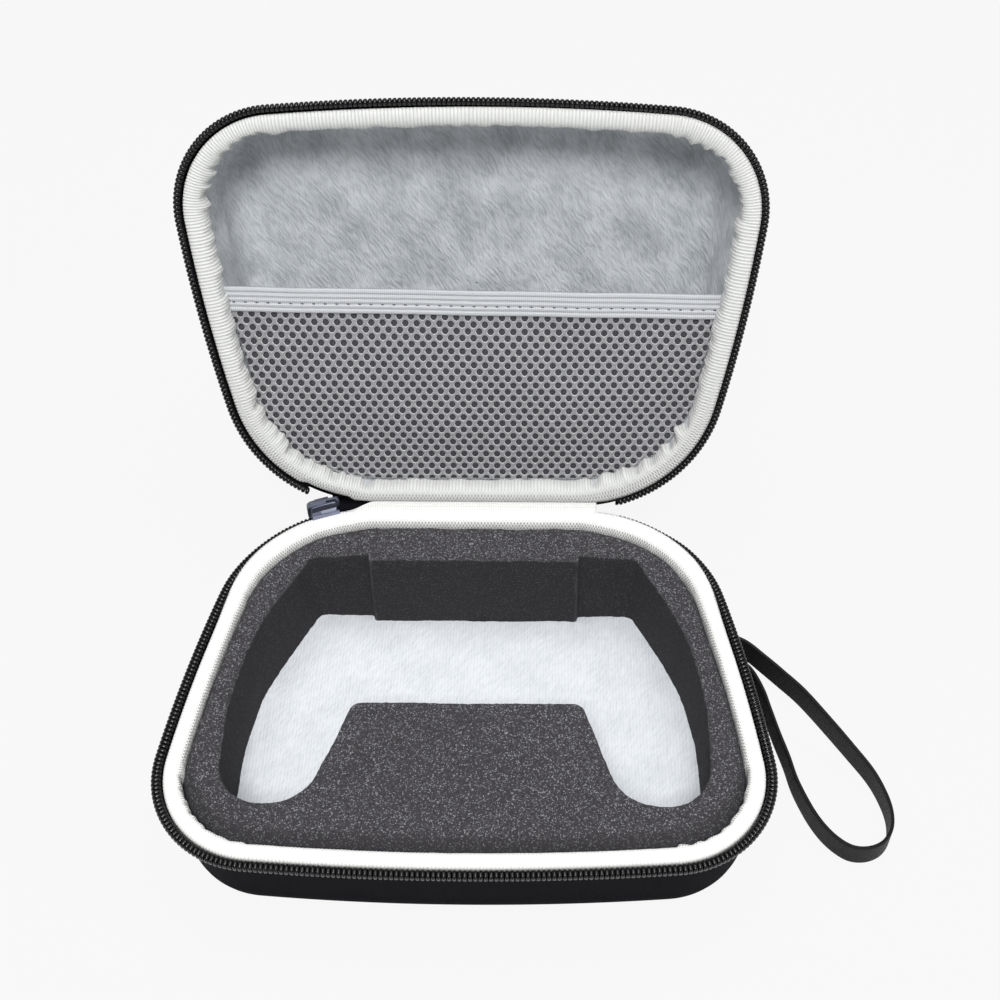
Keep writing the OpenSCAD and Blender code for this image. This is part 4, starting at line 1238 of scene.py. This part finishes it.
class CASE_OT_stage(bpy.types.Operator):
    """Camera, soft studio light and the pale floor."""

    bl_idname = "case.stage"
    bl_label = "Stage"

    def execute(self, context):
        scene, colours = context.scene, context.scene.case_colours
        camera = bpy.data.objects.new("camera", bpy.data.cameras.new("camera"))
        scene.collection.objects.link(camera)
        camera.data.lens = VIEW_LENS
        camera.data.sensor_width = 36
        camera.data.shift_x, camera.data.shift_y = VIEW_SHIFT
        camera.data.clip_start, camera.data.clip_end = 0.01, 20
        turn = (
            Matrix.Rotation(math.radians(VIEW_AZIMUTH), 4, "Z")
            @ Matrix.Rotation(math.radians(90 - VIEW_ELEVATION), 4, "X")
            @ Matrix.Rotation(math.radians(VIEW_ROLL), 4, "Z")
        )
        back = turn @ Vector((0, 0, VIEW_DISTANCE))
        camera.matrix_world = Matrix.Translation(Vector(VIEW_TARGET) + back) @ turn
        scene.camera = camera
        # Each with its place, what it aims at, its side and its power
        lamps = [
            ("overhead_softbox", (0.05, 0.1, 1.15), (0, 0.02, 0.03), 0.9, 8.8),
            ("front_softbox", (-0.02, -0.75, 1.32), (0, 0.1, 0.1), 0.4, 15.8),
            ("side_softbox", (1.1, -0.3, 0.8), (0, 0.03, 0.05), 0.7, 1.5),
        ]
        for name, spot, aim, side, power in lamps:
            lamp = bpy.data.objects.new(name, bpy.data.lights.new(name, "AREA"))
            lamp.data.shape, lamp.data.size, lamp.data.energy = "SQUARE", side, power
            lamp.location = spot
            lamp.rotation_euler = (Vector(spot) - Vector(aim)).to_track_quat("Z", "Y").to_euler()
            scene.collection.objects.link(lamp)
        world = bpy.data.worlds.new("Studio")
        scene.world = world
        world.use_nodes = True
        tree = world.node_tree
        room = tree.nodes["Background"]
        feed(tree, room, {"Color": (1, 1, 1, 1), "Strength": 0.29})
        seen = add(tree, "ShaderNodeBackground", {"Color": colours.backdrop, "Strength": 1.0})
        path = add(tree, "ShaderNodeLightPath")
        mix = add(tree, "ShaderNodeMixShader", {0: path.outputs["Is Camera Ray"], 1: room, 2: seen})
        feed(tree, tree.nodes["World Output"], {"Surface": mix})
        floor = place("floor", bpy.data.meshes.new("floor"))
        reach = 6.0
        floor.data.from_pydata([(-reach, -reach, 0), (reach, -reach, 0), (reach, reach, 0), (-reach, reach, 0)],
                               [], [(0, 1, 2, 3)])
        floor.location.z = -0.0002
        material, tree, shader = new_material("Pale studio floor", {"Base Color": colours.floor, "Roughness": 0.9})
        glow = add(tree, "ShaderNodeEmission", {"Color": colours.backdrop, "Strength": 1.0})
        path = add(tree, "ShaderNodeLightPath")
        share = add(tree, "ShaderNodeMath", {0: path.outputs["Is Camera Ray"], 1: 0.97}, operation="MULTIPLY")
        mix = add(tree, "ShaderNodeMixShader", {0: share, 1: shader, 2: glow})
        feed(tree, tree.nodes["Material Output"], {"Surface": mix})
        floor.data.materials.append(material)
        scene.view_settings.view_transform = "Standard"
        return {"FINISHED"}


class CASE_OT_wrist_strap(bpy.types.Operator):
    """Loop of flat webbing on the right side."""

    bl_idname = "case.wrist_strap"
    bl_label = "Wrist strap"

    def execute(self, context):
        make_strap(*settings(context))
        return {"FINISHED"}


class CASE_OT_shells(bpy.types.Operator):
    """Moulded shells of base and lid."""

    bl_idname = "case.shells"
    bl_label = "Shells"

    def execute(self, context):
        for body in BODIES:
            make_shell(*settings(context), body)
        return {"FINISHED"}


class CASE_OT_linings(bpy.types.Operator):
    """Plush linings of base and lid."""

    bl_idname = "case.linings"
    bl_label = "Plush linings"

    def execute(self, context):
        for body in BODIES:
            make_lining(*settings(context), body)
        return {"FINISHED"}


class CASE_OT_foam(bpy.types.Operator):
    """Foam insert with the controller's cut-out."""

    bl_idname = "case.foam"
    bl_label = "Foam insert"

    def execute(self, context):
        make_foam(*settings(context))
        return {"FINISHED"}


class CASE_OT_bindings(bpy.types.Operator):
    """White ribbed binding round both rims."""

    bl_idname = "case.bindings"
    bl_label = "Bindings"

    def execute(self, context):
        for body in BODIES:
            make_binding(*settings(context), body)
        return {"FINISHED"}


class CASE_OT_zip(bpy.types.Operator):
    """Tapes and coils of the zip."""

    bl_idname = "case.zip"
    bl_label = "Zip"

    def execute(self, context):
        for body in BODIES:
            make_tape(*settings(context), body)
            make_coil(*settings(context), body)
        return {"FINISHED"}


class CASE_OT_hinge(bpy.types.Operator):
    """Cloth hinge between the shells."""

    bl_idname = "case.hinge"
    bl_label = "Hinge cloths"

    def execute(self, context):
        make_hinge(*settings(context))
        return {"FINISHED"}


class CASE_OT_pocket(bpy.types.Operator):
    """Mesh pocket of the lid with its elastic."""

    bl_idname = "case.pocket"
    bl_label = "Mesh pocket"

    def execute(self, context):
        make_mesh_panel(*settings(context))
        make_band(*settings(context))
        return {"FINISHED"}


class CASE_OT_slider(bpy.types.Operator):
    """Metal of the zip's slider and puller, with softened edges."""

    bl_idname = "case.slider"
    bl_label = "Slider and puller"

    def execute(self, context):
        metal = plated_zinc(context.scene.case_colours)
        for node in ("zip_slider", "zip_puller"):
            obj = frame["nodes"][node]
            obj.data.materials.clear()
            obj.data.materials.append(metal)
            softened = obj.modifiers.new("Cast edges", "BEVEL")
            softened.width = 0.18 * MM
            softened.segments = 2
            softened.angle_limit = math.radians(40)
        make_slider_core(context.scene.case_sizes, metal)
        return {"FINISHED"}


OPERATORS = (
    CASE_OT_stage,
    CASE_OT_wrist_strap,
    CASE_OT_shells,
    CASE_OT_linings,
    CASE_OT_foam,
    CASE_OT_bindings,
    CASE_OT_zip,
    CASE_OT_hinge,
    CASE_OT_pocket,
    CASE_OT_slider,
)


class CASE_PT_panel(bpy.types.Panel):
    """Lists the case's pieces, sizes and colours."""

    bl_idname = "CASE_PT_panel"
    bl_label = "Carrying case"
    bl_space_type = "VIEW_3D"
    bl_region_type = "UI"
    bl_category = "Case"

    def draw(self, context):
        for operator in OPERATORS:
            self.layout.operator(operator.bl_idname)
        for group in (context.scene.case_sizes, context.scene.case_colours):
            for name in type(group).__annotations__:
                self.layout.prop(group, name)


CLASSES = (CaseSizes, CaseColours, *OPERATORS, CASE_PT_panel)


def register():
    for cls in CLASSES:
        bpy.utils.register_class(cls)
    bpy.types.Scene.case_sizes = PointerProperty(type=CaseSizes)
    bpy.types.Scene.case_colours = PointerProperty(type=CaseColours)


def unregister():
    del bpy.types.Scene.case_colours
    del bpy.types.Scene.case_sizes
    for cls in reversed(CLASSES):
        bpy.utils.unregister_class(cls)


def main():
    register()
    for operator in OPERATORS:
        group, name = operator.bl_idname.split(".")
        getattr(getattr(bpy.ops, group), name)()


if __name__ == "__main__":
    main()
